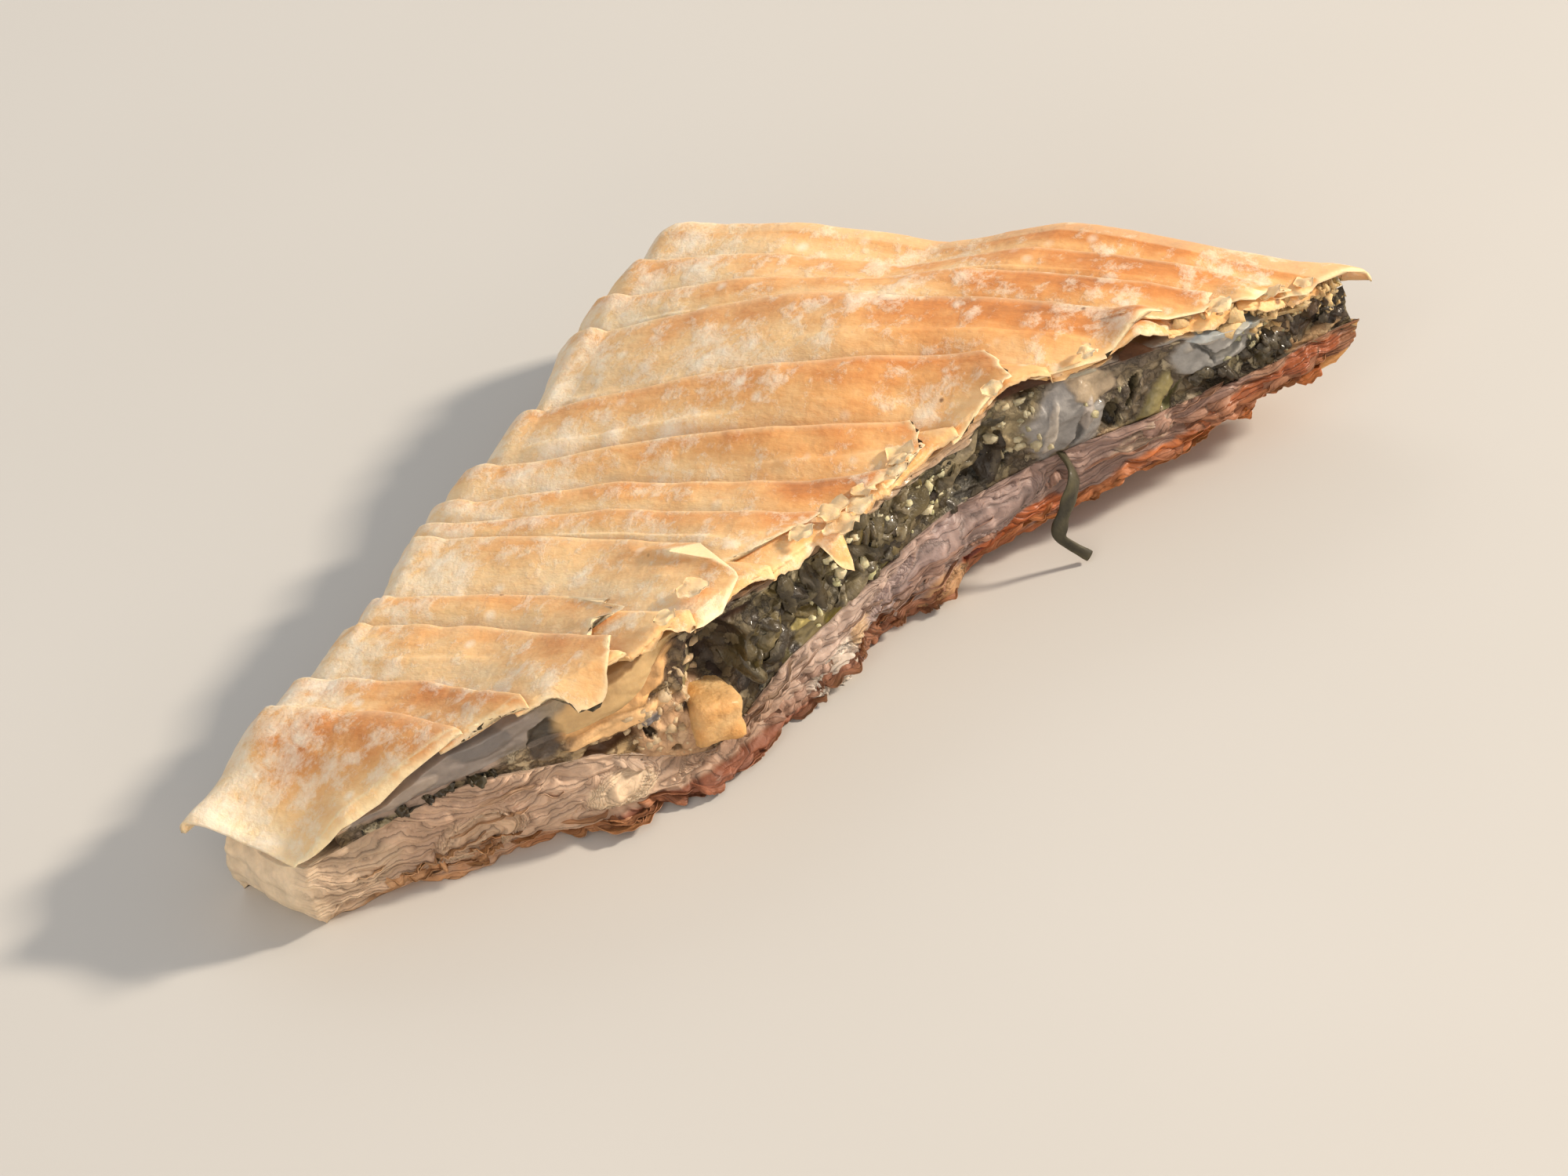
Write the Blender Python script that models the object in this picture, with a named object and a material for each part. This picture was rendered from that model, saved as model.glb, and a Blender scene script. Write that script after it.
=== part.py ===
"""Half of a square pleated spinach and cheese pie, cut from corner to corner.

The piece lies on its flat underside.  The cut face looks to -Y and the tip of
the half points to +X.  All sizes are in metres.
"""
import math
import random

import bmesh
import bpy
import numpy as np
from mathutils import noise

SEED = 7

# Plan of the half: the cut runs from the blunt end A2 to the tip C, the two
# baked sides run from A1 to the back corner B and from B to C.
CUT_LENGTH = 0.1690
CORNER_A1 = np.array([-0.0082, 0.0178])
CORNER_A2 = np.array([0.0, 0.0])
CORNER_B = np.array([0.0990, 0.0875])
CORNER_C = np.array([CUT_LENGTH, 0.0])
CUT_BOW = 0.0098
CUT_BOW_AT = 0.050
CUT_BOW_REACH = 0.031
CUT_HOLLOW = 0.0032
CUT_HOLLOW_AT = 0.108
CUT_HOLLOW_REACH = 0.020

# Rounded sides: how far the wall reaches outside the shoulder of the lid, how
# full its round is, and the slow wave of the side AB.
WALL_AB = 0.0085
WALL_BC = 0.0060
WALL_FULLNESS = 2.5
WALL_STEPS = (0.32, 0.58, 0.80, 1.0)
WAVE_AB = 0.0014
WAVE_LENGTH = 0.036

# Heights at the cut, as (distance along the cut, height) stations.
LID_STATIONS = ((0.0, 0.0146), (0.009, 0.0186), (0.024, 0.0246), (0.038, 0.0276), (0.055, 0.0292),
                (0.085, 0.0256), (0.100, 0.0264), (0.115, 0.0300), (0.133, 0.0286), (0.160, 0.0232))
FILLING_STATIONS = ((0.0, 0.0134), (0.025, 0.0168), (0.046, 0.0186), (0.056, 0.0250), (0.085, 0.0214),
                    (0.106, 0.0218), (0.114, 0.0266), (0.133, 0.0244), (0.160, 0.0196))
BASE_STATIONS = ((0.0, 0.0112), (0.025, 0.0150), (0.040, 0.0130), (0.057, 0.0046),
                 (0.072, 0.0100), (0.100, 0.0134), (0.125, 0.0142), (0.160, 0.0128))

# Heights away from the cut: the shoulder of AB, then along BC as (part of the
# way to the tip, height) stations.
SHOULDER_AB = 0.0186
SHOULDER_END = 0.0150
FLAP_RISE = 0.0012
FLAP_REACH = 0.45
BC_STATIONS = ((0.0, 0.0212), (0.2, 0.0236), (0.4, 0.0220), (0.62, 0.0280), (0.8, 0.0272), (1.0, 0.0246))

# Crown of the lid: it slopes up from the side AB, gently near the blunt end and
# steeply near the side BC, as far as a crown height.
CROWN_HEIGHT = (0.0280, 0.0298)
CROWN_SLOPE = (0.170, 0.34)
CROWN_SOFTNESS = 1.5
CROWN_CHANGE = (7.0, 2.5)
CROWN_ENDS = (0.50, 0.64)

# Seam between lid and base round the baked sides, and the clearances there.
SEAM_HEIGHT = 0.0080
SEAM_AT_END = 0.0108
SEAM_AT_TIP = 0.0134
TIP_OPENING = 0.0056
SEAM_SLACK = 0.0003
BASE_INSIDE = 0.0095
LID_THICKNESS = 0.0036
GAP = 0.0003
HIDDEN_SLACK = 0.0024
THINNEST_FILLING = 0.0006
END_INSET = 0.22

# Ragged ends of the base: set back and undercut at the tip, rounded at the
# blunt end, and drawn in at its foot.
TIP_SETBACK = 0.0028
TIP_UNDERCUT = 0.0034
END_ROUND = 0.0016
FOOT_INSET = 0.0028
FILLING_RAGGED = 0.0016
BASE_RAGGED = 0.0017

# The tip is bent up a little from the flat underside, about a line that is
# parallel to the side AB.
TIP_LIFT = 0.0080
LIFT_FROM = 0.065
LIFT_REACH = 0.044

# Pleats: where each crest meets the side AB and the cut, as parts of their
# lengths, and how deep the valley behind each crest is.
CRESTS_AB = (0.145, 0.205, 0.295, 0.345, 0.45, 0.475, 0.515, 0.575, 0.672, 0.815, 0.872, 0.938)
CRESTS_CUT = (0.150, 0.205, 0.305, 0.37, 0.455, 0.525, 0.58, 0.655, 0.750, 0.86, 0.922, 0.967)
PLEAT_DEPTH = 0.0020
PLEAT_WANDER = 0.0011
PLEAT_SCALLOP = 0.0007
PLEAT_STEP = 0.055
BAND_ROWS = (PLEAT_STEP, 0.5, 1.0)

# Torn lip of the lid over the cut: how far each band reaches out, and how
# thick the brittle sheet is there.
LIP_REACH = (0.0006, 0.0012, 0.0030, 0.0008, 0.0024, 0.0010, 0.0016,
             0.0009, 0.0026, 0.0007, 0.0012, 0.0022, 0.0008)
LIP_THICKNESS = 0.0013
LIP_RAGGED = 0.0009

# Loose leaves of the crusts at the cut: (distance along the cut, height as a
# part of the crust, reach, width, droop).
LID_FLAKES = ((0.014, 0.45, 0.0022, 0.012, 0.0010), (0.047, 0.60, 0.0034, 0.007, 0.0012),
              (0.071, 0.55, 0.0030, 0.008, 0.0020), (0.078, 0.50, 0.0046, 0.005, 0.0048),
              (0.091, 0.60, 0.0026, 0.010, 0.0012), (0.100, 0.55, 0.0036, 0.007, 0.0026),
              (0.108, 0.50, 0.0032, 0.009, 0.0022), (0.130, 0.45, 0.0028, 0.011, 0.0020),
              (0.146, 0.50, 0.0026, 0.008, 0.0014))
BASE_FLAKES = ((0.006, 0.14, 0.0034, 0.010, -0.0004), (0.018, 0.72, 0.0024, 0.012, 0.0006),
               (0.031, 0.22, 0.0036, 0.012, 0.0003), (0.043, 0.34, 0.0044, 0.018, -0.0006),
               (0.054, 0.60, 0.0040, 0.014, -0.0004), (0.066, 0.30, 0.0038, 0.010, -0.0008),
               (0.078, 0.80, 0.0024, 0.012, 0.0008), (0.094, 0.55, 0.0022, 0.012, 0.0008),
               (0.128, 0.34, 0.0040, 0.012, 0.0006), (0.139, 0.60, 0.0036, 0.012, 0.0008),
               (0.148, 0.30, 0.0042, 0.012, 0.0004), (0.157, 0.62, 0.0030, 0.009, 0.0006))
FLAKE_THICKNESS = 0.0007
FLAKE_ROOT = 0.0030

# Filling: large curds as (distance along the cut, part of the height, half
# length, half height), then how many small curds and spinach leaves.
CURDS = ((0.0520, 0.55, 0.0056, 0.0042), (0.0455, 0.60, 0.0026, 0.0018), (0.0655, 0.74, 0.0040, 0.0028),
         (0.1120, 0.45, 0.0042, 0.0038), (0.1175, 0.72, 0.0040, 0.0034), (0.1410, 0.66, 0.0070, 0.0022))
CURD_OUT = 0.0013
CURD_BEHIND = 0.0030
SMALL_CURDS = 10
SPINACH_LEAVES = 12
CHEESE_AT = (0.0585, 0.0099)
CHEESE_HALF = (0.0036, 0.0046, 0.0031)
CHEESE_OUT = 0.0024
CHEESE_TILT = math.radians(-14.0)
CHEESE_SQUARENESS = 4.5
CHEESE_POCKET = 0.0004

# Spinach strand that hangs over the base: (distance along the cut, place
# across it, height) of its path.
STRAND = ((0.1200, 0.0040, 0.0170), (0.1188, -0.0010, 0.0150), (0.1170, -0.0024, 0.0118),
          (0.1152, -0.0028, 0.0086), (0.1142, -0.0029, 0.0062), (0.1150, -0.0030, 0.0036),
          (0.1162, -0.0034, 0.0016))
STRAND_WIDTH = 0.0021
STRAND_THICKNESS = 0.0009

# Columns along a pleat, from the shoulder of AB to the cut.
LID_COLUMNS = 14
CORE_STEPS = (0, 3, 6, 9, 12, 13, 14)
FACE_LEVELS = 6


def smooth(value):
    """Smooth step of a value clipped to 0..1."""
    value = np.clip(value, 0.0, 1.0)
    return value * value * (3.0 - 2.0 * value)


def stations(table, x):
    """Height at x, eased between neighbouring stations."""
    xs = np.array([row[0] for row in table])
    hs = np.array([row[1] for row in table])
    index = np.clip(np.searchsorted(xs, x) - 1, 0, len(xs) - 2)
    part = (x - xs[index]) / (xs[index + 1] - xs[index])
    part = np.clip(part, 0.0, 1.0)
    eased = 0.5 * part + 0.5 * smooth(part)
    return hs[index] + (hs[index + 1] - hs[index]) * eased


def rough(x, y, z, seed):
    """Smooth seeded noise between about -1 and 1, for arrays."""
    spots = np.stack(np.broadcast_arrays(np.asarray(x, float), y, z), axis=-1)
    moved = spots + seed * np.array([17.3, -9.1, 4.7])
    flat = [noise.noise(spot) for spot in moved.reshape(-1, 3)]
    return np.array(flat).reshape(spots.shape[:-1]) * 1.6


def unit(vector):
    """Vector of length one in the same direction."""
    return vector / np.linalg.norm(vector)


SIDE_AB = unit(CORNER_B - CORNER_A1)
SIDE_BC = unit(CORNER_C - CORNER_B)
OUT_AB = np.array([-SIDE_AB[1], SIDE_AB[0]])
OUT_BC = np.array([-SIDE_BC[1], SIDE_BC[0]])
TIP_SLIDE = np.array([1.0 / OUT_BC[0], 0.0])

# Shoulder corners: the plan corners moved in by the width of the walls.
SHOULDER_A1 = CORNER_A1 + (CORNER_A2 - CORNER_A1) * WALL_AB / np.linalg.norm(CORNER_A2 - CORNER_A1)
SHOULDER_CORNER_B = CORNER_B - OUT_AB * WALL_AB - OUT_BC * WALL_BC
SHOULDER_C = CORNER_C - TIP_SLIDE * WALL_BC


def lift(plan_x, plan_y):
    """Height of the bent underside above the table."""
    inward = (plan_x - CORNER_A1[0]) * -OUT_AB[0] + (plan_y - CORNER_A1[1]) * -OUT_AB[1]
    return TIP_LIFT * smooth((inward - LIFT_FROM) / LIFT_REACH)


def cut_bow(x):
    """Plan offset of the cut face: it bows out, then falls back a little."""
    bow = CUT_BOW * np.exp(-((x - CUT_BOW_AT) / CUT_BOW_REACH) ** 2)
    hollow = CUT_HOLLOW * np.exp(-((x - CUT_HOLLOW_AT) / CUT_HOLLOW_REACH) ** 2)
    return hollow - bow


def rows():
    """Row places across the pleats: (pleat number, wall part)."""
    count = len(CRESTS_AB) + 1
    out = [(0.0, 0.0)]
    for band in range(count):
        for step in BAND_ROWS:
            if band == 0 and step == PLEAT_STEP:
                continue
            out.append((band + step, 0.0))
    out += [(float(count), part) for part in WALL_STEPS]
    return out


def columns(steps, lip=False):
    """Column places along a pleat: (part of the way to the cut, wall part, lip)."""
    out = [(0.0, part, 0.0) for part in reversed(WALL_STEPS)]
    for step in steps:
        out.append(((step / LID_COLUMNS) ** 0.85, 0.0, 0.0))
    if lip:
        out.append((1.0, 0.0, 1.0))
    return out


def slab(row_list, column_list, levels):
    """Closed block of a grid raised through its levels; returns mesh and lattice places."""
    mesh = bmesh.new()
    bmesh.ops.create_grid(mesh, x_segments=len(row_list) - 1, y_segments=len(column_list) - 1, size=0.5)
    for vertex in mesh.verts:
        vertex.co.x = round((vertex.co.x + 0.5) * (len(row_list) - 1))
        vertex.co.y = round((vertex.co.y + 0.5) * (len(column_list) - 1))
        vertex.co.z = 0.0
    face = mesh.faces[:]
    for level in range(1, levels + 1):
        raised = bmesh.ops.extrude_face_region(mesh, geom=face)["geom"]
        if level > 1:
            bmesh.ops.delete(mesh, geom=[f for f in face if f.is_valid], context="FACES_ONLY")
        face = [g for g in raised if isinstance(g, bmesh.types.BMFace)]
        for vertex in {v for f in face for v in f.verts}:
            vertex.co.z = float(level)
    mesh.verts.ensure_lookup_table()
    places = np.array([vertex.co[:] for vertex in mesh.verts]).round().astype(int)
    bmesh.ops.recalc_face_normals(mesh, faces=mesh.faces[:])
    return mesh, places


def plan_point(pleat, along, part_bc, part_ab, inset):
    """Plan position of a lattice place, with its walls drawn in by inset."""
    count = len(CRESTS_AB) + 1
    knots = np.arange(count + 1)
    on_ab = np.interp(pleat, knots, (0.0,) + CRESTS_AB + (1.0,))
    on_cut = np.interp(pleat, knots, (0.0,) + CRESTS_CUT + (1.0,))
    start = SHOULDER_A1 + (SHOULDER_CORNER_B - SHOULDER_A1) * on_ab[:, None]
    end = CORNER_A2 + (SHOULDER_C - CORNER_A2) * on_cut[:, None]
    wander = PLEAT_WANDER * rough(np.round(pleat) * 3.1, along * 2.3, 0.0, 2)
    wander = wander * np.sin(math.pi * np.clip(along, 0, 1)) * (pleat > 0.5) * (pleat < count - 0.5)
    point = start + (end - start) * along[:, None]
    point = point + wander[:, None] * np.array([0.7, 0.7])
    reach = np.maximum(part_bc, part_ab)
    length = np.maximum(np.hypot(part_bc, part_ab), 1e-9)
    turn = np.sin(reach * math.pi / 2.0) ** (2.0 / WALL_FULLNESS)
    slide = smooth((along - 0.55) / 0.45)[:, None]
    out_bc = OUT_BC * (1.0 - slide) + TIP_SLIDE * slide
    point = point + (part_bc / length * turn * (WALL_BC - inset))[:, None] * out_bc
    wave = WAVE_AB * np.cos(2.0 * math.pi * (start[:, 0] - 0.012) / WAVE_LENGTH) * (pleat > 0.5)
    scallop = PLEAT_SCALLOP * np.cos(2.0 * math.pi * pleat)
    point = point + (part_ab / length * turn * (WALL_AB + wave + scallop - inset))[:, None] * OUT_AB
    bow = cut_bow(point[:, 0]) * smooth((along - 0.35) / 0.65)
    return np.stack([point[:, 0], point[:, 1] + bow], axis=1)


def wall_drop(part_bc, part_ab):
    """How much of the shoulder height is left at a wall part."""
    reach = np.maximum(part_bc, part_ab)
    return np.clip(np.cos(reach * math.pi / 2.0), 0.0, 1.0) ** (2.0 / WALL_FULLNESS)


def seam(plan_x, along):
    """Height of the seam between lid and base around the baked sides."""
    to_tip = smooth((plan_x - 0.125) / 0.036) * smooth((along - 0.4) / 0.6)
    to_end = 1.0 - smooth((plan_x + 0.008) / 0.018)
    side = SEAM_HEIGHT + lift_at_seam(plan_x, along) + (SEAM_AT_END - SEAM_HEIGHT) * to_end
    return side + (SEAM_AT_TIP - side) * to_tip


def lift_at_seam(plan_x, along):
    """Rise of the seam towards the bent tip."""
    return 0.6 * TIP_LIFT * smooth((along - 0.5) / 0.5) * smooth((plan_x - 0.10) / 0.06)


def lid_rim(plan_x, along):
    """Lower rim of the lid: on the seam, but torn open around the tip."""
    open_part = smooth((plan_x - 0.150) / 0.016) * smooth((along - 0.75) / 0.25)
    slack = SEAM_SLACK * smooth((along - 0.3) / 0.3) * smooth((1.0 - along) / 0.1)
    return seam(plan_x, along) + TIP_OPENING * open_part + slack


def pleat_length(pleat):
    """Length of a line along the pleats, from the shoulder of AB to the cut."""
    knots = np.arange(len(CRESTS_AB) + 2)
    on_ab = np.interp(pleat, knots, (0.0,) + CRESTS_AB + (1.0,))
    on_cut = np.interp(pleat, knots, (0.0,) + CRESTS_CUT + (1.0,))
    start = SHOULDER_A1 + (SHOULDER_CORNER_B - SHOULDER_A1) * on_ab[:, None]
    end = CORNER_A2 + (SHOULDER_C - CORNER_A2) * on_cut[:, None]
    return np.linalg.norm(end - start, axis=1)


def lid_height(plan_x, pleat, along):
    """Smooth height of the lid between its shoulders and the cut."""
    count = len(CRESTS_AB) + 1
    side = SHOULDER_END + (SHOULDER_AB - SHOULDER_END) * smooth(pleat)
    side = side + FLAP_RISE * np.exp(-((pleat - 1.0) / FLAP_REACH) ** 2)
    shoulder = side + (BC_STATIONS[0][1] - side) * smooth((pleat - 7.0) / (count - 7.0))
    change = smooth((pleat - CROWN_CHANGE[0]) / CROWN_CHANGE[1])
    crown = CROWN_HEIGHT[0] + (CROWN_HEIGHT[1] - CROWN_HEIGHT[0]) * change
    slope = (CROWN_SLOPE[0] + (CROWN_SLOPE[1] - CROWN_SLOPE[0]) * change) * smooth(pleat)
    rise = slope * along * pleat_length(pleat) / (crown - shoulder)
    left = (1.0 - np.clip(rise / CROWN_SOFTNESS, 0.0, 1.0)) ** CROWN_SOFTNESS
    height = shoulder + (crown - shoulder) * (1.0 - left)
    edge = stations(BC_STATIONS, along)
    height = height + (edge - height) * smooth((pleat - 9.5) / (count - 9.5))
    ends = CROWN_ENDS[0] + (CROWN_ENDS[1] - CROWN_ENDS[0]) * change
    return height + (stations(LID_STATIONS, plan_x) - height) * smooth((along - ends) / (1.0 - ends))


def relief(pleat, along):
    """Sawtooth of the pleats: a gentle rise to each crest, then a steep drop."""
    count = len(CRESTS_AB) + 1
    band = np.clip(np.ceil(pleat - 1e-6) - 1, 0, count - 1)
    part = pleat - band
    depth = PLEAT_DEPTH * (0.90 + 0.35 * rough(band * 2.7, along * 2.0, 1.0, 3))
    depth = depth * (band > 0) * (1.0 - 0.35 * smooth((pleat - 10.0) / 3.0))
    return -depth * (1.0 - part) ** 1.5


def finish(mesh, name, color, roughness, collection):
    """Turn a mesh into a named object with its own material."""
    data = bpy.data.meshes.new(name)
    bmesh.ops.triangulate(mesh, faces=[f for f in mesh.faces if len(f.verts) > 3], quad_method="FIXED")
    mesh.to_mesh(data)
    mesh.free()
    material = bpy.data.materials.new(name)
    material.use_nodes = True
    shader = material.node_tree.nodes["Principled BSDF"]
    shader.inputs["Base Color"].default_value = (*color, 1.0)
    shader.inputs["Roughness"].default_value = roughness
    shader.inputs["Metallic"].default_value = 0.0
    data.materials.append(material)
    result = bpy.data.objects.new(name, data)
    collection.objects.link(result)
    return result


def unpack(places, row_list, column_list):
    """Row and column places of every lattice vertex."""
    row_table = np.array(row_list)
    column_table = np.array(column_list)
    pleat, part_bc = row_table[places[:, 0]].T
    along, part_ab, lip = column_table[places[:, 1]].T
    return pleat, along, part_bc, part_ab, lip, places[:, 2]


def write(mesh, coordinates):
    """Move the lattice to its real places and turn the faces outward."""
    for vertex, coordinate in zip(mesh.verts, coordinates):
        vertex.co = coordinate
    if mesh.calc_volume(signed=True) < 0.0:
        bmesh.ops.reverse_faces(mesh, faces=mesh.faces[:])


def lip_reach(pleat, plan_x):
    """How far the torn edge of the lid hangs over the cut."""
    count = len(CRESTS_AB) + 1
    band = np.clip(np.ceil(pleat - 1e-6) - 1, 0, count - 1).astype(int)
    reach = np.array(LIP_REACH)[band]
    return np.clip(reach + LIP_RAGGED * rough(plan_x * 330.0, band * 1.9, 0.0, 5), 0.0002, None)


def build_lid(collection):
    """Pleated lid: an outer skin with the pleats over a smoother inner skin."""
    row_list = rows()
    column_list = columns(range(LID_COLUMNS + 1), lip=True)
    mesh, places = slab(row_list, column_list, 1)
    pleat, along, part_bc, part_ab, lip, level = unpack(places, row_list, column_list)
    outer = level == 1
    inset = np.where(outer, 0.0, LID_THICKNESS * 0.8)
    plan = plan_point(pleat, along, part_bc, part_ab, inset)
    shoulder = lid_height(plan[:, 0], pleat, along)
    skin = shoulder + relief(pleat, along)
    under = inner_height(plan[:, 0], pleat, along) + GAP
    rim = lid_rim(plan[:, 0], along)
    left = wall_drop(part_bc, part_ab)
    height = rim + (np.where(outer, skin, under) - rim) * left
    reach = lip_reach(pleat, plan[:, 0]) * lip * (0.35 + 0.65 * left)
    plan[:, 1] -= reach
    lip_top = rim + (skin - rim) * left - 0.35 * reach - 0.0003
    lip_low = np.maximum(lip_top - LIP_THICKNESS, rim + (under - rim) * left)
    height = np.where(lip > 0, np.where(outer, lip_top, lip_low), height)
    write(mesh, np.column_stack([plan, height]))
    return finish(mesh, "pastry_top", (0.86, 0.68, 0.42), 0.55, collection)


def inner_height(plan_x, pleat, along):
    """Height of the top of the filling."""
    thickness = LIP_THICKNESS + (LID_THICKNESS - LIP_THICKNESS) * smooth(pleat)
    shoulder = lid_height(plan_x, pleat, along) - thickness - GAP
    at_cut = stations(FILLING_STATIONS, plan_x)
    return shoulder + (at_cut - shoulder) * smooth((along - 0.55) / 0.45)


def base_height(plan_x, pleat, along):
    """Height of the top of the base crust: level with the seam near the sides."""
    count = len(CRESTS_AB) + 1
    at_cut = stations(BASE_STATIONS, plan_x)
    inside = BASE_INSIDE + (at_cut - BASE_INSIDE) * smooth((along - 0.5) / 0.5)
    rim = seam(plan_x, along) - GAP
    near = np.maximum(smooth((pleat - count + 1.3) / 1.3), 1.0 - smooth(along / 0.15))
    return inside + (rim - inside) * near


def face_relief(plan_x, level, seed, depth):
    """Ragged ledges of the cut face, different on each level."""
    coarse = rough(plan_x * 160.0, level * 1.7, 0.0, seed)
    fine = rough(plan_x * 420.0, level * 2.9, 5.0, seed + 1)
    return depth * (0.65 * coarse + 0.35 * fine)


def build_filling(collection):
    """Filling: a block from the base to the lid, ragged at the cut."""
    row_list = rows()
    column_list = columns(CORE_STEPS)
    mesh, places = slab(row_list, column_list, FACE_LEVELS)
    pleat, along, part_bc, part_ab, _, level = unpack(places, row_list, column_list)
    level = level / FACE_LEVELS
    pleat = np.maximum(pleat, END_INSET)
    inset = np.full(len(places), LID_THICKNESS * 0.8 + GAP * 1.5)
    plan = plan_point(pleat, along, part_bc, part_ab, inset)
    hidden = HIDDEN_SLACK * np.sqrt(np.clip(np.sin(math.pi * along), 0, 1)) * (part_ab == 0)
    top = inner_height(plan[:, 0], pleat, along) - hidden
    low = base_height(plan[:, 0], pleat, along) + GAP + hidden * 0.6
    rim = lid_rim(plan[:, 0], along) - 2.0 * GAP
    top = rim + (top - rim) * wall_drop(part_bc, part_ab)
    top = np.maximum(top, low + THINNEST_FILLING)
    height = low + (top - low) * level
    ragged = face_relief(plan[:, 0], level * FACE_LEVELS, 11, FILLING_RAGGED) + 0.0008
    ragged = ragged * np.clip((top - low) / 0.008, 0.0, 1.0)
    plan[:, 1] += ragged * (along > 0.999) * smooth(np.minimum(level, 1.0 - level) / 0.2)
    write(mesh, np.column_stack([plan, height]))
    return finish(mesh, "filling", (0.20, 0.24, 0.12), 0.6, collection)


def build_base(collection):
    """Base crust: a block with walls drawn in at the foot, ragged at the cut."""
    row_list = rows()
    column_list = columns(CORE_STEPS)
    mesh, places = slab(row_list, column_list, FACE_LEVELS)
    pleat, along, part_bc, part_ab, _, level = unpack(places, row_list, column_list)
    level = level / FACE_LEVELS
    foot = FOOT_INSET * (1.0 - smooth(level / 0.4))
    plan = plan_point(pleat, along, part_bc, part_ab, foot)
    tip = smooth((plan[:, 0] - 0.150) / 0.018) * smooth((along - 0.6) / 0.4)
    plan[:, 0] -= tip * (TIP_SETBACK + TIP_UNDERCUT * (1.0 - level))
    plan[:, 0] += (pleat == 0.0) * END_ROUND * (2.0 * level - 1.0) ** 2
    top = base_height(plan[:, 0], pleat, along)
    under = lift(plan[:, 0], plan[:, 1])
    height = under + (top - under) * level
    ragged = face_relief(plan[:, 0], level * FACE_LEVELS, 21, BASE_RAGGED) * (along > 0.999)
    plan[:, 1] += ragged * smooth((1.0 - level) / 0.15)
    write(mesh, np.column_stack([plan, height]))
    return finish(mesh, "pastry_bottom", (0.78, 0.66, 0.50), 0.6, collection)


def helper(mesh, collection):
    """Plain object for one fused piece or cutter."""
    if mesh.calc_volume(signed=True) < 0.0:
        bmesh.ops.reverse_faces(mesh, faces=mesh.faces[:])
    bmesh.ops.triangulate(mesh, faces=[f for f in mesh.faces if len(f.verts) > 3], quad_method="FIXED")
    data = bpy.data.meshes.new("helper")
    mesh.to_mesh(data)
    mesh.free()
    result = bpy.data.objects.new("helper", data)
    result.hide_render = True
    result.display_type = "WIRE"
    collection.objects.link(result)
    return result


def face_point(x, out, part):
    """Point on the cut face of the filling: along it, out of it, up it."""
    low = stations(BASE_STATIONS, x) + 0.0008
    high = stations(FILLING_STATIONS, x) - 0.0008
    return np.stack([x, cut_bow(x) - out, low + (high - low) * part], axis=-1)


def crust_flake(spec, low_table, high_table, number, collection):
    """Thin wavy leaf of pastry that stands out of the cut face of a crust."""
    x, part, reach, width, droop = spec
    mesh, places = slab(range(6), range(4), 1)
    across = places[:, 0] / 5.0 - 0.5
    outward = places[:, 1] / 3.0
    face = places[:, 2] - 0.5
    ragged = 0.85 + 0.35 * rough(across * 2.2, number * 2.1, 0.0, 31)
    taper = 1.0 - 0.35 * outward
    px = x + across * width * taper
    py = cut_bow(np.full(len(px), x)) + FLAKE_ROOT - (FLAKE_ROOT + reach * ragged) * outward
    low = lift(px, 0.0 * px) if low_table is None else stations(low_table, px)
    high = stations(high_table, px)
    wave = 0.0006 * rough(across * 3.0, outward * 1.5, number * 3.3, 32)
    clear = cut_bow(px) - py
    hang = droop * np.clip((clear - 0.0014) / 0.0025, 0.0, 1.0) ** 1.5
    pz = low + (high - low) * part + wave - hang + face * FLAKE_THICKNESS * (1.0 - 0.4 * outward)
    write(mesh, np.stack([px, py, pz], axis=1))
    return helper(mesh, collection)


def curd(x, part, half_x, half_z, number, collection):
    """Lump of the filling that stands a little out of the cut face."""
    mesh = bmesh.new()
    bmesh.ops.create_icosphere(mesh, subdivisions=2, radius=1.0)
    centre = face_point(np.array([x]), 0.0, np.array([part]))[0]
    for vertex in mesh.verts:
        ball = vertex.co.copy()
        bump = 1.0 + 0.28 * noise.noise(ball * 1.7 + ball.normalized() * number)
        depth = CURD_OUT if ball.y < 0.0 else CURD_BEHIND
        vertex.co = centre + np.array([ball.x * half_x * bump, ball.y * depth, ball.z * half_z * bump])
    return helper(mesh, collection)


def spinach_leaf(x, part, length, width, turn, number, collection):
    """Crumpled leaf lying in the cut face of the filling."""
    mesh, places = slab(range(5), range(3), 1)
    run = places[:, 0] / 4.0 - 0.5
    across = (places[:, 1] / 2.0 - 0.5) * np.sqrt(np.clip(1.0 - (1.7 * run) ** 2, 0.12, 1.0))
    px = x + run * length * math.cos(turn) - across * width * math.sin(turn)
    rise = run * length * math.sin(turn) + across * width * math.cos(turn)
    room = stations(FILLING_STATIONS, px) - stations(BASE_STATIONS, px)
    up = np.clip(part + rise / room, 0.04, 0.96)
    crease = 0.0004 * rough(run * 3.2, across * 2.6, number * 1.7, 41)
    out = 0.0001 + crease - 0.0010 * np.abs(across) + (places[:, 2] - 0.5) * 0.0013
    write(mesh, face_point(px, out, up))
    return helper(mesh, collection)


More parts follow.
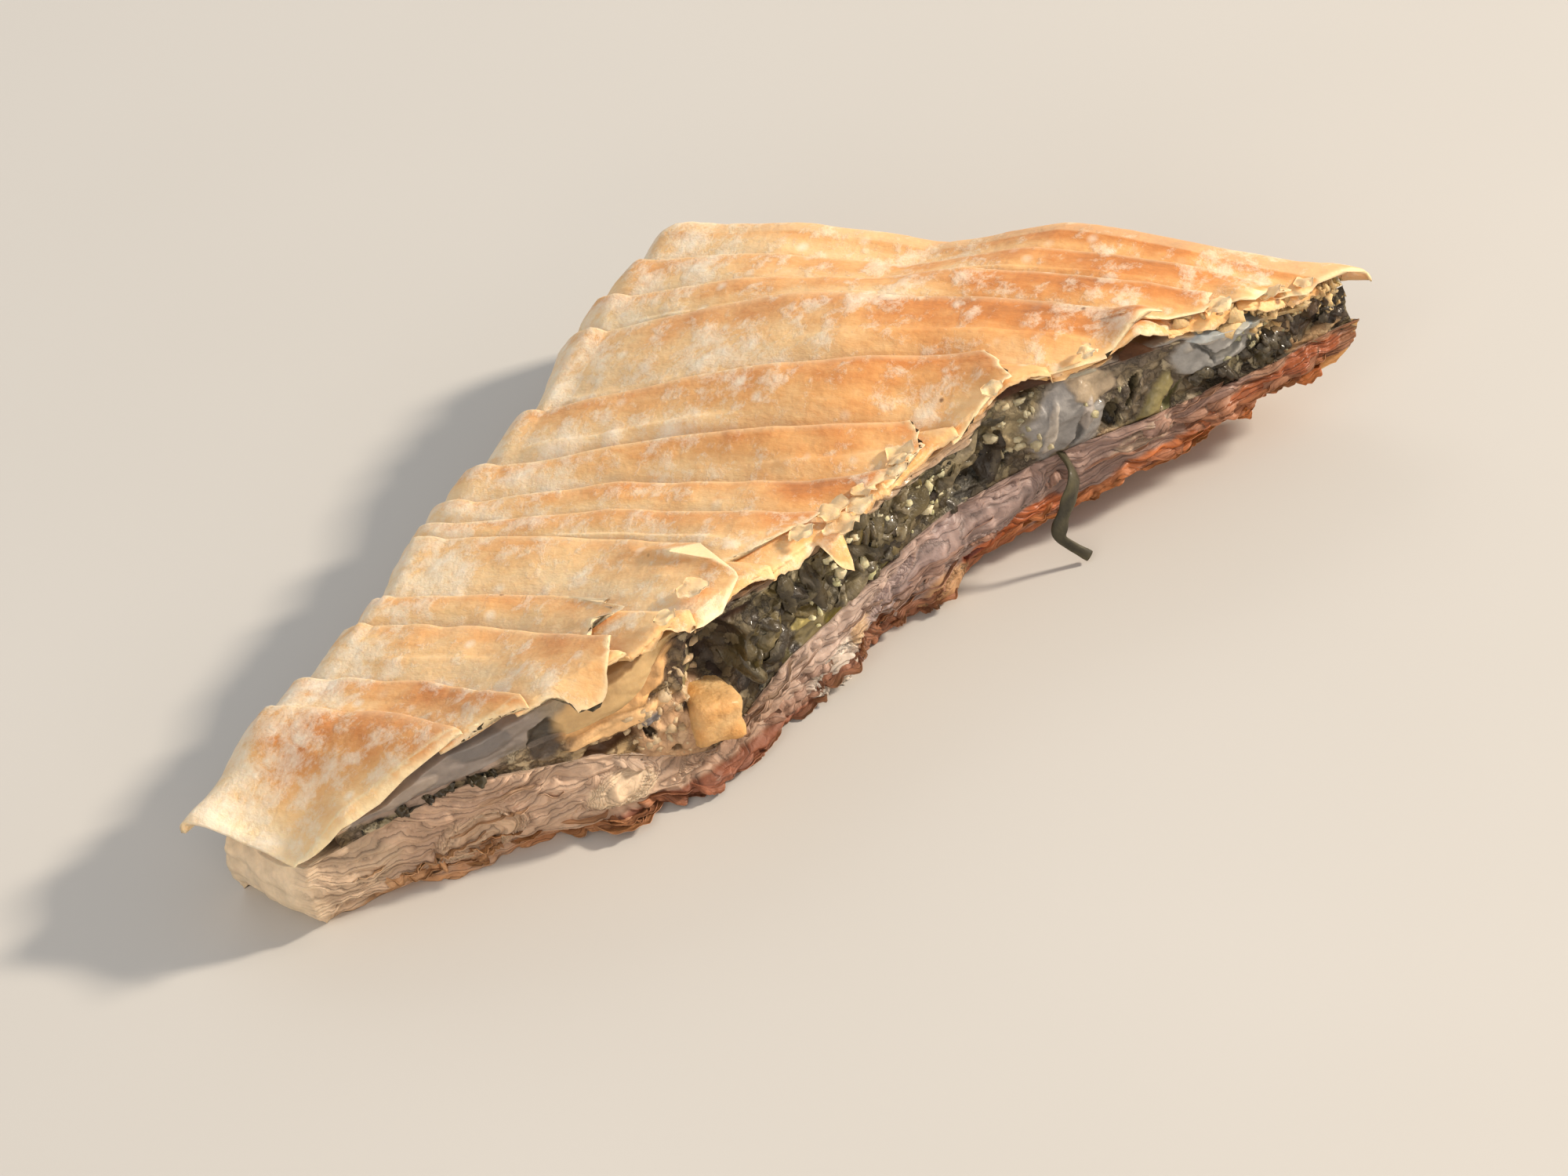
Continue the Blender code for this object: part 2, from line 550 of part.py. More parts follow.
def strand(collection):
    """Flat spinach strand that leaves the filling and hangs down."""
    mesh, places = slab(range(len(STRAND)), range(3), 1)
    path = np.array(STRAND)[places[:, 0]]
    heading = np.gradient(np.array(STRAND), axis=0)[places[:, 0]]
    heading = heading / np.linalg.norm(heading, axis=1)[:, None]
    twist = 0.5 * np.sin(places[:, 0] * 1.1)
    side = np.cross(heading, np.array([0.0, 1.0, 0.0]))
    side = side / np.maximum(np.linalg.norm(side, axis=1), 1e-6)[:, None]
    normal = np.cross(side, heading)
    turned = side * np.cos(twist)[:, None] + normal * np.sin(twist)[:, None]
    other = normal * np.cos(twist)[:, None] - side * np.sin(twist)[:, None]
    width = STRAND_WIDTH * (1.0 - 0.45 * np.abs(places[:, 0] / (len(STRAND) - 1.0) - 0.3))
    spot = path + turned * ((places[:, 1] / 2.0 - 0.5) * width)[:, None]
    spot = spot + other * ((places[:, 2] - 0.5) * STRAND_THICKNESS)[:, None]
    write(mesh, spot)
    return helper(mesh, collection)


def cheese(extra, number):
    """Rounded block of cheese, grown by extra for the pocket it sits in."""
    mesh = bmesh.new()
    bmesh.ops.create_cube(mesh, size=2.0)
    bmesh.ops.subdivide_edges(mesh, edges=mesh.edges[:], cuts=2, use_grid_fill=True)
    half = np.array(CHEESE_HALF) + extra
    for vertex in mesh.verts:
        point = np.array(vertex.co[:])
        point = point / (np.sum(np.abs(point) ** CHEESE_SQUARENESS) ** (1.0 / CHEESE_SQUARENESS))
        crumb = noise.noise((point[0] * 1.3 + number, point[1] * 1.3, point[2] * 1.3))
        point = point * (1.0 + 0.10 * crumb) * half
        x = CHEESE_AT[0] + point[0] * math.cos(CHEESE_TILT) - point[2] * math.sin(CHEESE_TILT)
        y = cut_bow(CHEESE_AT[0]) + CHEESE_HALF[1] - CHEESE_OUT + point[1]
        z = CHEESE_AT[1] + point[0] * math.sin(CHEESE_TILT) + point[2] * math.cos(CHEESE_TILT)
        vertex.co = (x, y, z)
    return mesh


def combine(target, operation, collection):
    """Fuse the bits of a collection onto a target, or cut them out of it, then remove them."""
    modifier = target.modifiers.new("join", "BOOLEAN")
    modifier.operation = operation
    modifier.operand_type = "COLLECTION"
    modifier.collection = collection
    modifier.solver = "MANIFOLD"
    graph = bpy.context.evaluated_depsgraph_get()
    result = bpy.data.meshes.new_from_object(target.evaluated_get(graph))
    target.modifiers.clear()
    material = target.data.materials[0]
    target.data = result
    result.materials.clear()
    result.materials.append(material)
    for piece in list(collection.objects):
        bpy.data.objects.remove(piece, do_unlink=True)
    keep_largest(result)


def keep_largest(data):
    """Keep only the largest connected body of a mesh."""
    mesh = bmesh.new()
    mesh.from_mesh(data)
    unseen = set(mesh.verts)
    groups = []
    while unseen:
        front = [unseen.pop()]
        group = set(front)
        while front:
            near = {e.other_vert(v) for v in front for e in v.link_edges} & unseen
            unseen -= near
            group |= near
            front = list(near)
        groups.append(group)
    groups.sort(key=len, reverse=True)
    bmesh.ops.delete(mesh, geom=[v for group in groups[1:] for v in group], context="VERTS")
    mesh.to_mesh(data)
    mesh.free()


def main():
    """Build the four nodes and centre them over their box."""
    for old in list(bpy.data.objects):
        bpy.data.objects.remove(old, do_unlink=True)
    dice = random.Random(SEED)
    collection = bpy.data.collections.new("spanakopita")
    helpers = bpy.data.collections.new("helpers")
    bpy.context.scene.collection.children.link(collection)
    bpy.context.scene.collection.children.link(helpers)
    helpers.hide_render = True

    lid = build_lid(collection)
    for number, spec in enumerate(LID_FLAKES):
        crust_flake(spec, FILLING_STATIONS, LID_STATIONS, number, helpers)
    combine(lid, "UNION", helpers)

    base = build_base(collection)
    for number, spec in enumerate(BASE_FLAKES):
        crust_flake(spec, None, BASE_STATIONS, number + 20, helpers)
    combine(base, "UNION", helpers)

    filling = build_filling(collection)
    for number, spec in enumerate(CURDS):
        curd(*spec, number * 2.3, helpers)
    for number in range(SMALL_CURDS):
        size = dice.uniform(0.0014, 0.0026)
        curd(dice.uniform(0.062, 0.155), dice.uniform(0.2, 0.8), size * 1.3, size, 9.0 + number, helpers)
    for number in range(SPINACH_LEAVES):
        spinach_leaf(dice.uniform(0.060, 0.150), dice.uniform(0.15, 0.85), dice.uniform(0.006, 0.013),
                     dice.uniform(0.003, 0.006), dice.uniform(-0.9, 0.9), number, helpers)
    strand(helpers)
    combine(filling, "UNION", helpers)
    helper(cheese(CHEESE_POCKET, 3.0), helpers)
    combine(filling, "DIFFERENCE", helpers)
    lump = finish(cheese(0.0, 3.0), "cheese_lump", (0.85, 0.68, 0.33), 0.5, collection)

    pieces = [lid, filling, base, lump]
    corners = np.array([v.co[:] for piece in pieces for v in piece.data.vertices])
    low, high = corners.min(axis=0), corners.max(axis=0)
    shift = np.array([(low[0] + high[0]) / 2, (low[1] + high[1]) / 2, low[2]])
    for piece in pieces:
        for vertex in piece.data.vertices:
            vertex.co = np.array(vertex.co[:]) - shift


main()
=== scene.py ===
"""Looks of one half of a pleated spinach and cheese pie, cut from corner to corner.

The half lies on its flat underside, its cut face looks to -Y and its tip points to +X.  Places
along the cut are worked out from the corner where the cut starts at the blunt end, as the solids
are, and moved into the part's own frame at the end.  All sizes are in metres unless a name ends
in _mm.
"""

import math

import bpy
import numpy as np
from mathutils import Matrix, Vector


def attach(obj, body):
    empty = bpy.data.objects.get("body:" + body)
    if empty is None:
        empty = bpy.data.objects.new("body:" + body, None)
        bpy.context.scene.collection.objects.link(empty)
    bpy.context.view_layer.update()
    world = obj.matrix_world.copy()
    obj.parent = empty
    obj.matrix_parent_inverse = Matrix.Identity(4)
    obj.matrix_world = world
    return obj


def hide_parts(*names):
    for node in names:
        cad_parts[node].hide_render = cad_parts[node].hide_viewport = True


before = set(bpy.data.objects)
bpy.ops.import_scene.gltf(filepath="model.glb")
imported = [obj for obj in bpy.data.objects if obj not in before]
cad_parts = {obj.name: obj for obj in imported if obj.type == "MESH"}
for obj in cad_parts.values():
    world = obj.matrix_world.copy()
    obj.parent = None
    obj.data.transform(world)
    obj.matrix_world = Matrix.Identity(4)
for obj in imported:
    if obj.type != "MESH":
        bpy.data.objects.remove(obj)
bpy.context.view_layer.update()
MM = 0.001
# Metres in one unit of run past the cut, and the gap left between the underside and the floor.
PAST_UNIT = 0.1
FLOOR_GAP = 0.00005
# How far the bodies of the cut reach into each other.
OVERLAP = 0.0002
# Direction of the pleats in plan, and the height of the base under the middle of the lid.
PLEAT_TURN = math.radians(-51.3)
BASE_INSIDE = 0.0095
CUT_CORNER = np.array([-0.07967079, -0.03538304, 0.0])

# Plan of the half, with the cut from the blunt end A2 to the tip C.
CORNER_A1 = np.array([-0.0082, 0.0178])
CORNER_A2 = np.array([0.0, 0.0])
CORNER_B = np.array([0.0990, 0.0875])
CORNER_C = np.array([0.1690, 0.0])
CUT_BOW = 0.0098
CUT_BOW_AT = 0.050
CUT_BOW_REACH = 0.031
CUT_HOLLOW = 0.0032
CUT_HOLLOW_AT = 0.108
CUT_HOLLOW_REACH = 0.020
WALL_AB = 0.0085
WALL_BC = 0.0060
WALL_FULLNESS = 2.5
WAVE_AB = 0.0014
WAVE_LENGTH = 0.036

# Heights at the cut as (distance along it, height), and round the baked sides.
LID_STATIONS = (
    (0.0, 0.0146), (0.009, 0.0186), (0.024, 0.0246), (0.038, 0.0276), (0.055, 0.0292), (0.085, 0.0256),
    (0.100, 0.0264), (0.115, 0.0300), (0.133, 0.0286), (0.160, 0.0232),
)
FILLING_STATIONS = (
    (0.0, 0.0134), (0.025, 0.0168), (0.046, 0.0186), (0.056, 0.0250), (0.085, 0.0214), (0.106, 0.0218),
    (0.114, 0.0266), (0.133, 0.0244), (0.160, 0.0196),
)
BASE_STATIONS = (
    (0.0, 0.0112), (0.025, 0.0150), (0.040, 0.0130), (0.057, 0.0046), (0.072, 0.0100), (0.100, 0.0134),
    (0.125, 0.0142), (0.160, 0.0128),
)
BC_STATIONS = (
    (0.0, 0.0212), (0.2, 0.0236), (0.4, 0.0220), (0.62, 0.0280), (0.8, 0.0272), (1.0, 0.0246),
)
SHOULDER_AB = 0.0186
SHOULDER_END = 0.0150
FLAP_RISE = 0.0012
FLAP_REACH = 0.45
CROWN_HEIGHT = (0.0280, 0.0298)
CROWN_SLOPE = (0.170, 0.34)
CROWN_SOFTNESS = 1.5
CROWN_CHANGE = (7.0, 2.5)
CROWN_ENDS = (0.50, 0.64)
SEAM_HEIGHT = 0.0080
SEAM_AT_END = 0.0108
SEAM_AT_TIP = 0.0134
TIP_OPENING = 0.0056
TIP_LIFT = 0.0080
LIFT_FROM = 0.065
LIFT_REACH = 0.044

# Pleats: where each crest meets the side AB and the cut, as parts of their lengths.
CRESTS_AB = (0.145, 0.205, 0.295, 0.345, 0.45, 0.475, 0.515, 0.575, 0.672, 0.815, 0.872, 0.938)
CRESTS_CUT = (0.150, 0.205, 0.305, 0.37, 0.455, 0.525, 0.58, 0.655, 0.750, 0.86, 0.922, 0.967)
PLEATS = len(CRESTS_AB) + 1
PLEAT_DEPTH = 0.0025
SHEET_HALF = 0.00040
CREST_REACH = 0.0010
# Depth of the valley behind each crest as a part of PLEAT_DEPTH.
STEPS = np.array([0.0, 0.75, 0.85, 1.0, 1.1, 0.8, 0.95, 0.9, 1.15, 1.3, 1.0, 0.75, 0.65, 0.65])
# Small folds between the crests: (pleat, run where it starts and ends, height in millimetres).
MINOR_FOLDS = (
    (8.42, -0.05, 0.50, 0.55), (9.52, 0.40, 1.02, 0.65), (10.42, 0.00, 0.55, 0.45),
    (5.45, 0.25, 0.85, 0.35), (2.55, 0.10, 0.70, 0.30), (9.22, -0.10, 0.35, 0.35),
    (11.45, 0.30, 0.90, 0.35), (7.55, 0.55, 1.00, 0.35),
)

# How far each pleat's top sheet reaches past the cut, in millimetres, at (part of the way from
# its valley to its crest, reach).  A negative reach bares the leaf under it.
TORN_ENDS_MM = (
    ((0, 0.2), (0.3, 1.8), (0.6, 1.4), (1, 1.2)),
    ((0, 1.2), (0.5, 1), (1, 1.4)),
    ((0, 1.4), (0.32, 2), (0.40, 4.8), (0.62, 4.6), (0.74, 2.2), (1, -2.6)),
    ((0, -3.4), (0.25, -10), (0.6, -13), (0.85, -9), (1, -20)),
    ((0, 2.8), (0.3, 2.4), (0.5, 0.6), (0.7, -2), (0.82, -7), (0.86, -16), (1, -12)),
    ((0, -9), (0.45, -6), (0.8, -3.6), (1, -2)),
    ((0, -4), (0.3, 0.2), (0.7, -0.8), (1, 1)),
    ((0, 1.2), (0.3, 0.8), (0.42, -0.6), (0.6, -0.4), (0.8, -2.6), (1, -6)),
    ((0, 1.6), (0.25, 0.8), (0.5, 0.4), (0.62, 0.8), (0.66, -0.6), (0.8, -3.6), (0.9, -6), (1, -8.4)),
    ((0, -1), (0.2, 0.8), (0.45, 1.4), (0.62, -0.4), (0.85, -1.2), (1, -1.6)),
    ((0, -3.4), (0.3, -2.4), (0.6, -1), (1, -4)),
    ((0, -3), (0.4, 0.8), (0.7, -1.5), (1, 0.5)),
    ((0, 0.4), (0.5, 1.2), (1, 0.8)),
)
# How far each pleat's torn end curls up, in millimetres; the last one turns down.
END_CURLS_MM = (0.0, 0.0, 0.2, 0.2, 0.5, 0.2, 0.3, 0.3, 0.2, 0.1, 0.3, 0.2, -0.2)
# Arches of the lid's torn edge over hollows of the cut, in millimetres: (along, half width, height).
EDGE_ARCHES_MM = ((118, 5, 0.5), (134.5, 3.6, 2.2), (150.5, 2.6, 1.4), (60, 6, 0.6))

# Reach past the cut of the leaf under the pleats, in millimetres, by pleat number.
UNDER_LEAF_MM = (
    (0, -4), (0.6, 0), (1.6, 0.2), (2.4, 0.6), (2.9, 1), (3.3, 2), (3.6, 0.2), (3.85, 3), (4.15, 2.6),
    (4.5, 0.8), (5, 1.4), (5.5, 2), (5.68, 1.4), (5.80, 5.4), (5.95, 5.8), (6.08, 1.4), (6.7, 1.8),
    (7.3, 1.2), (8, 1.4), (8.45, 0.2), (9.1, 1.4), (9.4, 0.8), (9.8, 1.8), (10.1, 0.6), (10.6, 1.8),
    (11.1, 0), (11.6, 1.8), (12.3, 1.2), (13, 1),
)
# Small torn flakes left on the lid near the cut: (pleat, run, length in millimetres, turn and lift in
# degrees).
TORN_FLAKES = (
    (7.45, 0.955, 4.6, 30, 35), (7.30, 0.985, 3.8, -20, 48), (7.12, 1, 4, 10, 30),
    (6.70, 0.985, 4, -35, 30), (6.35, 1.005, 4.6, 20, 24), (6.05, 0.975, 5, 60, 38),
    (5.95, 1.01, 5.4, -10, 22), (5.60, 0.96, 4.2, 15, 28), (8.4, 1, 3.6, 35, 26),
    (4.35, 0.90, 5, -15, 20), (10.75, 0.99, 4.4, 40, 24), (11.8, 0.985, 4.2, 10, 26),
    (12.7, 0.99, 3.4, 0, 24), (3.6, 0.985, 3.6, 25, 24), (9.3, 1, 3.4, -25, 26),
)

# Camera: its place and aim in the part's frame, and how far it leans about its own axis.
CAMERA_AT = Vector((-0.23699, -0.79421, 0.64325))
CAMERA_AIM = Vector((-0.0024, -0.0295, 0.0120))
CAMERA_ROLL = math.radians(-16.03)
CAMERA_LENS = 172.0
SENSOR = 36.0
FLOOR_HALF = 3.0
# Square lamps: (name, place, side, power, colour), and the colour and strength of the air round them.
LIGHTS = (
    ("key", (1.70, -0.56, 0.92), 0.22, 57.5, "#FFF0DC"),
    ("fill", (-0.55, -0.60, 0.60), 0.7, 2.8, "#F8ECDD"),
    ("back", (0.10, 0.80, 0.55), 0.6, 1.6, "#F4F1EC"),
    ("front", (-0.10, -0.95, 0.22), 0.5, 3.0, "#FFE3C6"),
)
AIR_TONE = "#E2E6EC"
AIR_STRENGTH = 0.54


def srgb(text):
    """Linear colour of an sRGB hex value."""
    part = np.array([int(text[i:i + 2], 16) for i in (1, 3, 5)]) / 255.0
    return np.where(part <= 0.04045, part / 12.92, ((part + 0.055) / 1.055) ** 2.4)


def smooth(value):
    """Smooth step of a value clipped to 0..1: three squares less two cubes."""
    value = np.clip(value, 0.0, 1.0)
    return value * value * (3.0 - 2.0 * value)


def stations(table, x):
    """Value at x, half straight and half eased between neighbouring stations."""
    xs, hs = np.array(table).T
    index = np.clip(np.searchsorted(xs, x) - 1, 0, len(xs) - 2)
    part = np.clip((x - xs[index]) / (xs[index + 1] - xs[index]), 0.0, 1.0)
    eased = 0.5 * part + 0.5 * smooth(part)
    return hs[index] + (hs[index + 1] - hs[index]) * eased


def tones(table, x):
    """Colour at x, eased between (place, hex colour) stations."""
    places = np.array([row[0] for row in table])
    colours = np.array([srgb(row[1]) for row in table])
    index = np.clip(np.searchsorted(places, x) - 1, 0, len(places) - 2)
    part = smooth((x - places[index]) / (places[index + 1] - places[index]))[..., None]
    return colours[index] * (1.0 - part) + colours[index + 1] * part


def between(colours, share):
    """Colour between two hex colours by the share of the second."""
    return srgb(colours[0]) * (1.0 - share) + srgb(colours[1]) * share


def lattice_value(ix, iy, iz, seed):
    """Random number between 0 and 1 for each whole lattice place."""
    n = (ix * 73856093) ^ (iy * 19349663) ^ (iz * 83492791) ^ (seed * 265443576 + 12345)
    n = (n ^ (n >> 13)) * 1274126177
    n = (n ^ (n >> 15)) * 668265263
    n = n ^ (n >> 16)
    return (n & 0xFFFFFF) / float(0xFFFFFF)


def ripple(x, y, z, seed):
    """Smooth noise between -1 and 1: random lattice values eased between the eight corners of a cell."""
    x, y, z = np.broadcast_arrays(np.asarray(x, float), np.asarray(y, float), np.asarray(z, float))
    corners = [np.floor(axis) for axis in (x, y, z)]
    parts = [axis - corner for axis, corner in zip((x, y, z), corners)]
    eased = [p * p * p * (p * (p * 6.0 - 15.0) + 10.0) for p in parts]
    ix, iy, iz = [corner.astype(np.int64) for corner in corners]
    total = np.zeros(x.shape)
    for step in range(8):
        sx, sy, sz = step & 1, (step >> 1) & 1, step >> 2
        weight = (eased[0] if sx else 1.0 - eased[0]) * (eased[1] if sy else 1.0 - eased[1])
        weight = weight * (eased[2] if sz else 1.0 - eased[2])
        total += weight * lattice_value(ix + sx, iy + sy, iz + sz, seed)
    return total * 2.0 - 1.0


def rough(x, y, z, seed, octaves=3):
    """Sum of ripples, each twice as fine and half as high as the one before."""
    total = 0.0
    for octave in range(octaves):
        scale = 2.03 ** octave
        place = [np.asarray(axis) * scale for axis in (x, y, z)]
        total = total + ripple(*place, seed + octave) / 2.0 ** octave
    return total / 1.5


def blisters(x, y, seed, chance, fullness=1.0):
    """Height 0..1 of round bubbles: one possible bubble a unit cell, of random place and width."""
    fx, fy = np.floor(x).astype(np.int64), np.floor(y).astype(np.int64)
    best = np.zeros(np.shape(x))
    for dx in (-1, 0, 1):
        for dy in (-1, 0, 1):
            cx, cy = fx + dx, fy + dy
            px = cx + 0.2 + 0.6 * lattice_value(cx, cy, cx * 0 + 1, seed)
            py = cy + 0.2 + 0.6 * lattice_value(cx, cy, cx * 0 + 2, seed)
            radius = 0.22 + 0.42 * lattice_value(cx, cy, cx * 0 + 3, seed)
            there = lattice_value(cx, cy, cx * 0 + 4, seed) < chance
            near = 1.0 - np.clip(np.hypot(x - px, y - py) / radius, 0.0, 1.0) ** 2
            best = np.maximum(best, there * near ** fullness * (0.4 + 0.6 * radius / 0.64))
    return best


# Form of the whole half


def unit(vectors):
    """Vectors of length one in the same directions."""
    return vectors / np.maximum(np.linalg.norm(vectors, axis=-1, keepdims=True), 1e-12)


SIDE_AB = unit(CORNER_B - CORNER_A1)
SIDE_BC = unit(CORNER_C - CORNER_B)
OUT_AB = np.array([-SIDE_AB[1], SIDE_AB[0]])
OUT_BC = np.array([-SIDE_BC[1], SIDE_BC[0]])
TIP_SLIDE = np.array([1.0 / OUT_BC[0], 0.0])
SHOULDER_A1 = CORNER_A1 + (CORNER_A2 - CORNER_A1) * WALL_AB / np.linalg.norm(CORNER_A2 - CORNER_A1)
SHOULDER_CORNER_B = CORNER_B - OUT_AB * WALL_AB - OUT_BC * WALL_BC
SHOULDER_C = CORNER_C - TIP_SLIDE * WALL_BC


def lift(plan_x, plan_y):
    """Height of the bent underside: a smooth step with the distance inward from the side AB."""
    inward = (plan_x - CORNER_A1[0]) * -OUT_AB[0] + (plan_y - CORNER_A1[1]) * -OUT_AB[1]
    return TIP_LIFT * smooth((inward - LIFT_FROM) / LIFT_REACH)


def cut_bow(x):
    """Plan offset of the cut face: one bell outward and a smaller one back."""
    bow = CUT_BOW * np.exp(-((x - CUT_BOW_AT) / CUT_BOW_REACH) ** 2)
    hollow = CUT_HOLLOW * np.exp(-((x - CUT_HOLLOW_AT) / CUT_HOLLOW_REACH) ** 2)
    return hollow - bow


def seam(plan_x, along):
    """Height of the seam between lid and base round the baked sides."""
    to_tip = smooth((plan_x - 0.125) / 0.036) * smooth((along - 0.4) / 0.6)
    to_end = 1.0 - smooth((plan_x + 0.008) / 0.018)
    bent = 0.6 * TIP_LIFT * smooth((along - 0.5) / 0.5) * smooth((plan_x - 0.10) / 0.06)
    side = SEAM_HEIGHT + bent + (SEAM_AT_END - SEAM_HEIGHT) * to_end
    return side + (SEAM_AT_TIP - side) * to_tip


def lid_rim(plan_x, along):
    """Lower rim of the lid: on the seam, but torn open round the tip."""
    return (seam(plan_x, along) + TIP_OPENING * smooth((plan_x - 0.150) / 0.016)
            * smooth((along - 0.75) / 0.25))


def pleat_ends(pleat):
    """Plan places where a line along the pleats meets the shoulder of AB and the cut."""
    knots = np.arange(PLEATS + 1)
    on_ab = np.interp(pleat, knots, (0.0,) + CRESTS_AB + (1.0,))
    on_cut = np.interp(pleat, knots, (0.0,) + CRESTS_CUT + (1.0,))
    start = SHOULDER_A1 + (SHOULDER_CORNER_B - SHOULDER_A1) * on_ab[..., None]
    end = CORNER_A2 + (SHOULDER_C - CORNER_A2) * on_cut[..., None]
    return start, end


def lid_height(plan_x, pleat, along):
    """Height of the lid: a slope up from the shoulder of AB to a crown, eased into the cut's stations."""
    side = SHOULDER_END + (SHOULDER_AB - SHOULDER_END) * smooth(pleat)
    side = side + FLAP_RISE * np.exp(-((pleat - 1.0) / FLAP_REACH) ** 2)
    shoulder = side + (BC_STATIONS[0][1] - side) * smooth((pleat - 7.0) / (PLEATS - 7.0))
    change = smooth((pleat - CROWN_CHANGE[0]) / CROWN_CHANGE[1])
    crown = CROWN_HEIGHT[0] + (CROWN_HEIGHT[1] - CROWN_HEIGHT[0]) * change
    slope = (CROWN_SLOPE[0] + (CROWN_SLOPE[1] - CROWN_SLOPE[0]) * change) * smooth(pleat)
    start, end = pleat_ends(pleat)
    rise = slope * along * np.linalg.norm(end - start, axis=-1) / (crown - shoulder)
    left = (1.0 - np.clip(rise / CROWN_SOFTNESS, 0.0, 1.0)) ** CROWN_SOFTNESS
    height = shoulder + (crown - shoulder) * (1.0 - left)
    edge = stations(BC_STATIONS, along)
    height = height + (edge - height) * smooth((pleat - 9.5) / (PLEATS - 9.5))
    ends = CROWN_ENDS[0] + (CROWN_ENDS[1] - CROWN_ENDS[0]) * change
    return height + (stations(LID_STATIONS, plan_x) - height) * smooth((along - ends) / (1.0 - ends))


def base_top(plan_x, pleat, along):
    """Height of the top of the base crust: level with the seam near the sides."""
    at_cut = stations(BASE_STATIONS, plan_x)
    inside = BASE_INSIDE + (at_cut - BASE_INSIDE) * smooth((along - 0.5) / 0.5)
    near = np.maximum(smooth((pleat - PLEATS + 1.3) / 1.3), 1.0 - smooth(along / 0.15))
    return inside + (seam(plan_x, along) - inside) * near


def plan_point(pleat, along, part_bc, part_ab, inset=0.0):
    """Plan place: along a line from the shoulder of AB to the cut, then out over a round wall."""
    start, end = pleat_ends(pleat)
    point = start + (end - start) * along[..., None]
    inner = smooth(pleat / 1.0) * smooth((PLEATS - pleat) / 1.5) * np.sin(math.pi * np.clip(along, 0, 1))
    point = point + (0.0009 * ripple(pleat * 0.8, along * 3.3, 0.0, 2) * inner)[..., None] * OUT_BC
    length = np.maximum(np.hypot(part_bc, part_ab), 1e-9)
    turn = np.sin(np.maximum(part_bc, part_ab) * math.pi / 2.0) ** (2.0 / WALL_FULLNESS)
    slide = smooth((along - 0.55) / 0.45)[..., None]
    out_bc = OUT_BC * (1.0 - slide) + TIP_SLIDE * slide
    point = point + (part_bc / length * turn * (WALL_BC - inset))[..., None] * out_bc
    wave = WAVE_AB * np.cos(2.0 * math.pi * (start[..., 0] - 0.012) / WAVE_LENGTH) * smooth(pleat / 0.5)
    point = point + (part_ab / length * turn * (WALL_AB + wave - inset))[..., None] * OUT_AB
    bow = cut_bow(point[..., 0]) * smooth((along - 0.35) / 0.65)
    return np.stack([point[..., 0], point[..., 1] + bow], axis=-1)


def lid_place(pleat, run):
    """Point of the smooth lid.  Run is -1 at the foot of AB, 0 at its shoulder, 1 at the cut, and more
    past it at a tenth of a metre a unit.  Pleat 0 is the blunt end, and 13 to 14 is the wall BC."""
    part_bc = np.clip(pleat - PLEATS, 0.0, 1.0)
    part_ab = np.clip(-run, 0.0, 1.0)
    inside = np.clip(pleat, 0.0, PLEATS)
    along = np.clip(run, 0.0, 1.0)
    past = np.clip(run - 1.0, 0.0, None) * PAST_UNIT
    before = np.clip(-pleat, 0.0, None) * 0.01
    plan = plan_point(inside, along, part_bc, part_ab)
    reach = np.maximum(part_bc, part_ab)
    left = np.clip(np.cos(reach * math.pi / 2.0), 0.0, 1.0) ** (2.0 / WALL_FULLNESS)
    rim = lid_rim(plan[..., 0], along)
    height = rim + (lid_height(plan[..., 0], inside, along) - rim) * left
    height = height - 0.30 * past - 90.0 * past ** 2 - 0.20 * before - 60.0 * before ** 2
    return np.stack([plan[..., 0] - before * 0.95, plan[..., 1] - past - before * 0.3, height], axis=-1)


def face_point(x, height, out):
    """Point on the cut face: along it, above the table, and out of it towards -Y."""
    return np.stack([x, cut_bow(x) - out, height], axis=-1)


# Mesh making


def grid_faces(rows, columns, start=0, close_rows=False):
    """Quads of a grid of rows by columns points, the rows joined round if asked."""
    row = np.arange(rows if close_rows else rows - 1)[:, None]
    column = np.arange(columns - 1)[None, :]
    after = (row + 1) % rows
    quads = np.stack([row * columns + column, row * columns + column + 1, after * columns + column + 1,
                      after * columns + column], axis=-1)
    return quads.reshape(-1, 4) + start


def loft(points, values=None):
    """Closed body of rings: points is (round, along, 3), the round ways joined, both ends capped."""
    around, along = points.shape[:2]
    caps = [np.arange(around) * along, (np.arange(around) * along + along - 1)[::-1]]
    flat = {key: np.asarray(value).reshape(around * along, -1) for key, value in (values or {}).items()}
    return points.reshape(-1, 3), [grid_faces(around, along, close_rows=True)], caps, flat


def shells(top, under, values=None):
    """Closed thin leaves: top and under are (leaves, rows, columns, 3), joined round their rims."""
    leaves, rows, columns = top.shape[:3]
    count = rows * columns
    index = np.arange(count).reshape(rows, columns)
    faces = grid_faces(rows, columns)
    rim = np.concatenate([index[0, :], index[1:, -1], index[-1, -2::-1], index[-2:0:-1, 0]])
    after = np.roll(rim, -1)
    sides = np.stack([rim, rim + count, after + count, after], axis=-1)
    one = np.concatenate([faces, faces[:, ::-1] + count, sides[:, ::-1]])
    quads = (one[None] + (np.arange(leaves) * 2 * count)[:, None, None]).reshape(-1, 4)
    points = np.stack([top, under], axis=1).reshape(-1, 3)
    flat = {}
    for key, value in (values or {}).items():
        value = np.asarray(value).reshape(leaves, 1, count, -1)
        flat[key] = np.repeat(value, 2, axis=1).reshape(leaves * 2 * count, -1)
    return points, [quads], [], flat


def leaf_body(middle, thickness, values=None):
    """Shells of leaves given by their middle surfaces, each thickened along its own normals."""
    normal = unit(np.cross(np.gradient(middle, axis=1), np.gradient(middle, axis=2)))
    half = 0.5 * np.asarray(thickness)[..., None] * normal
    return shells(middle + half, middle - half, values)


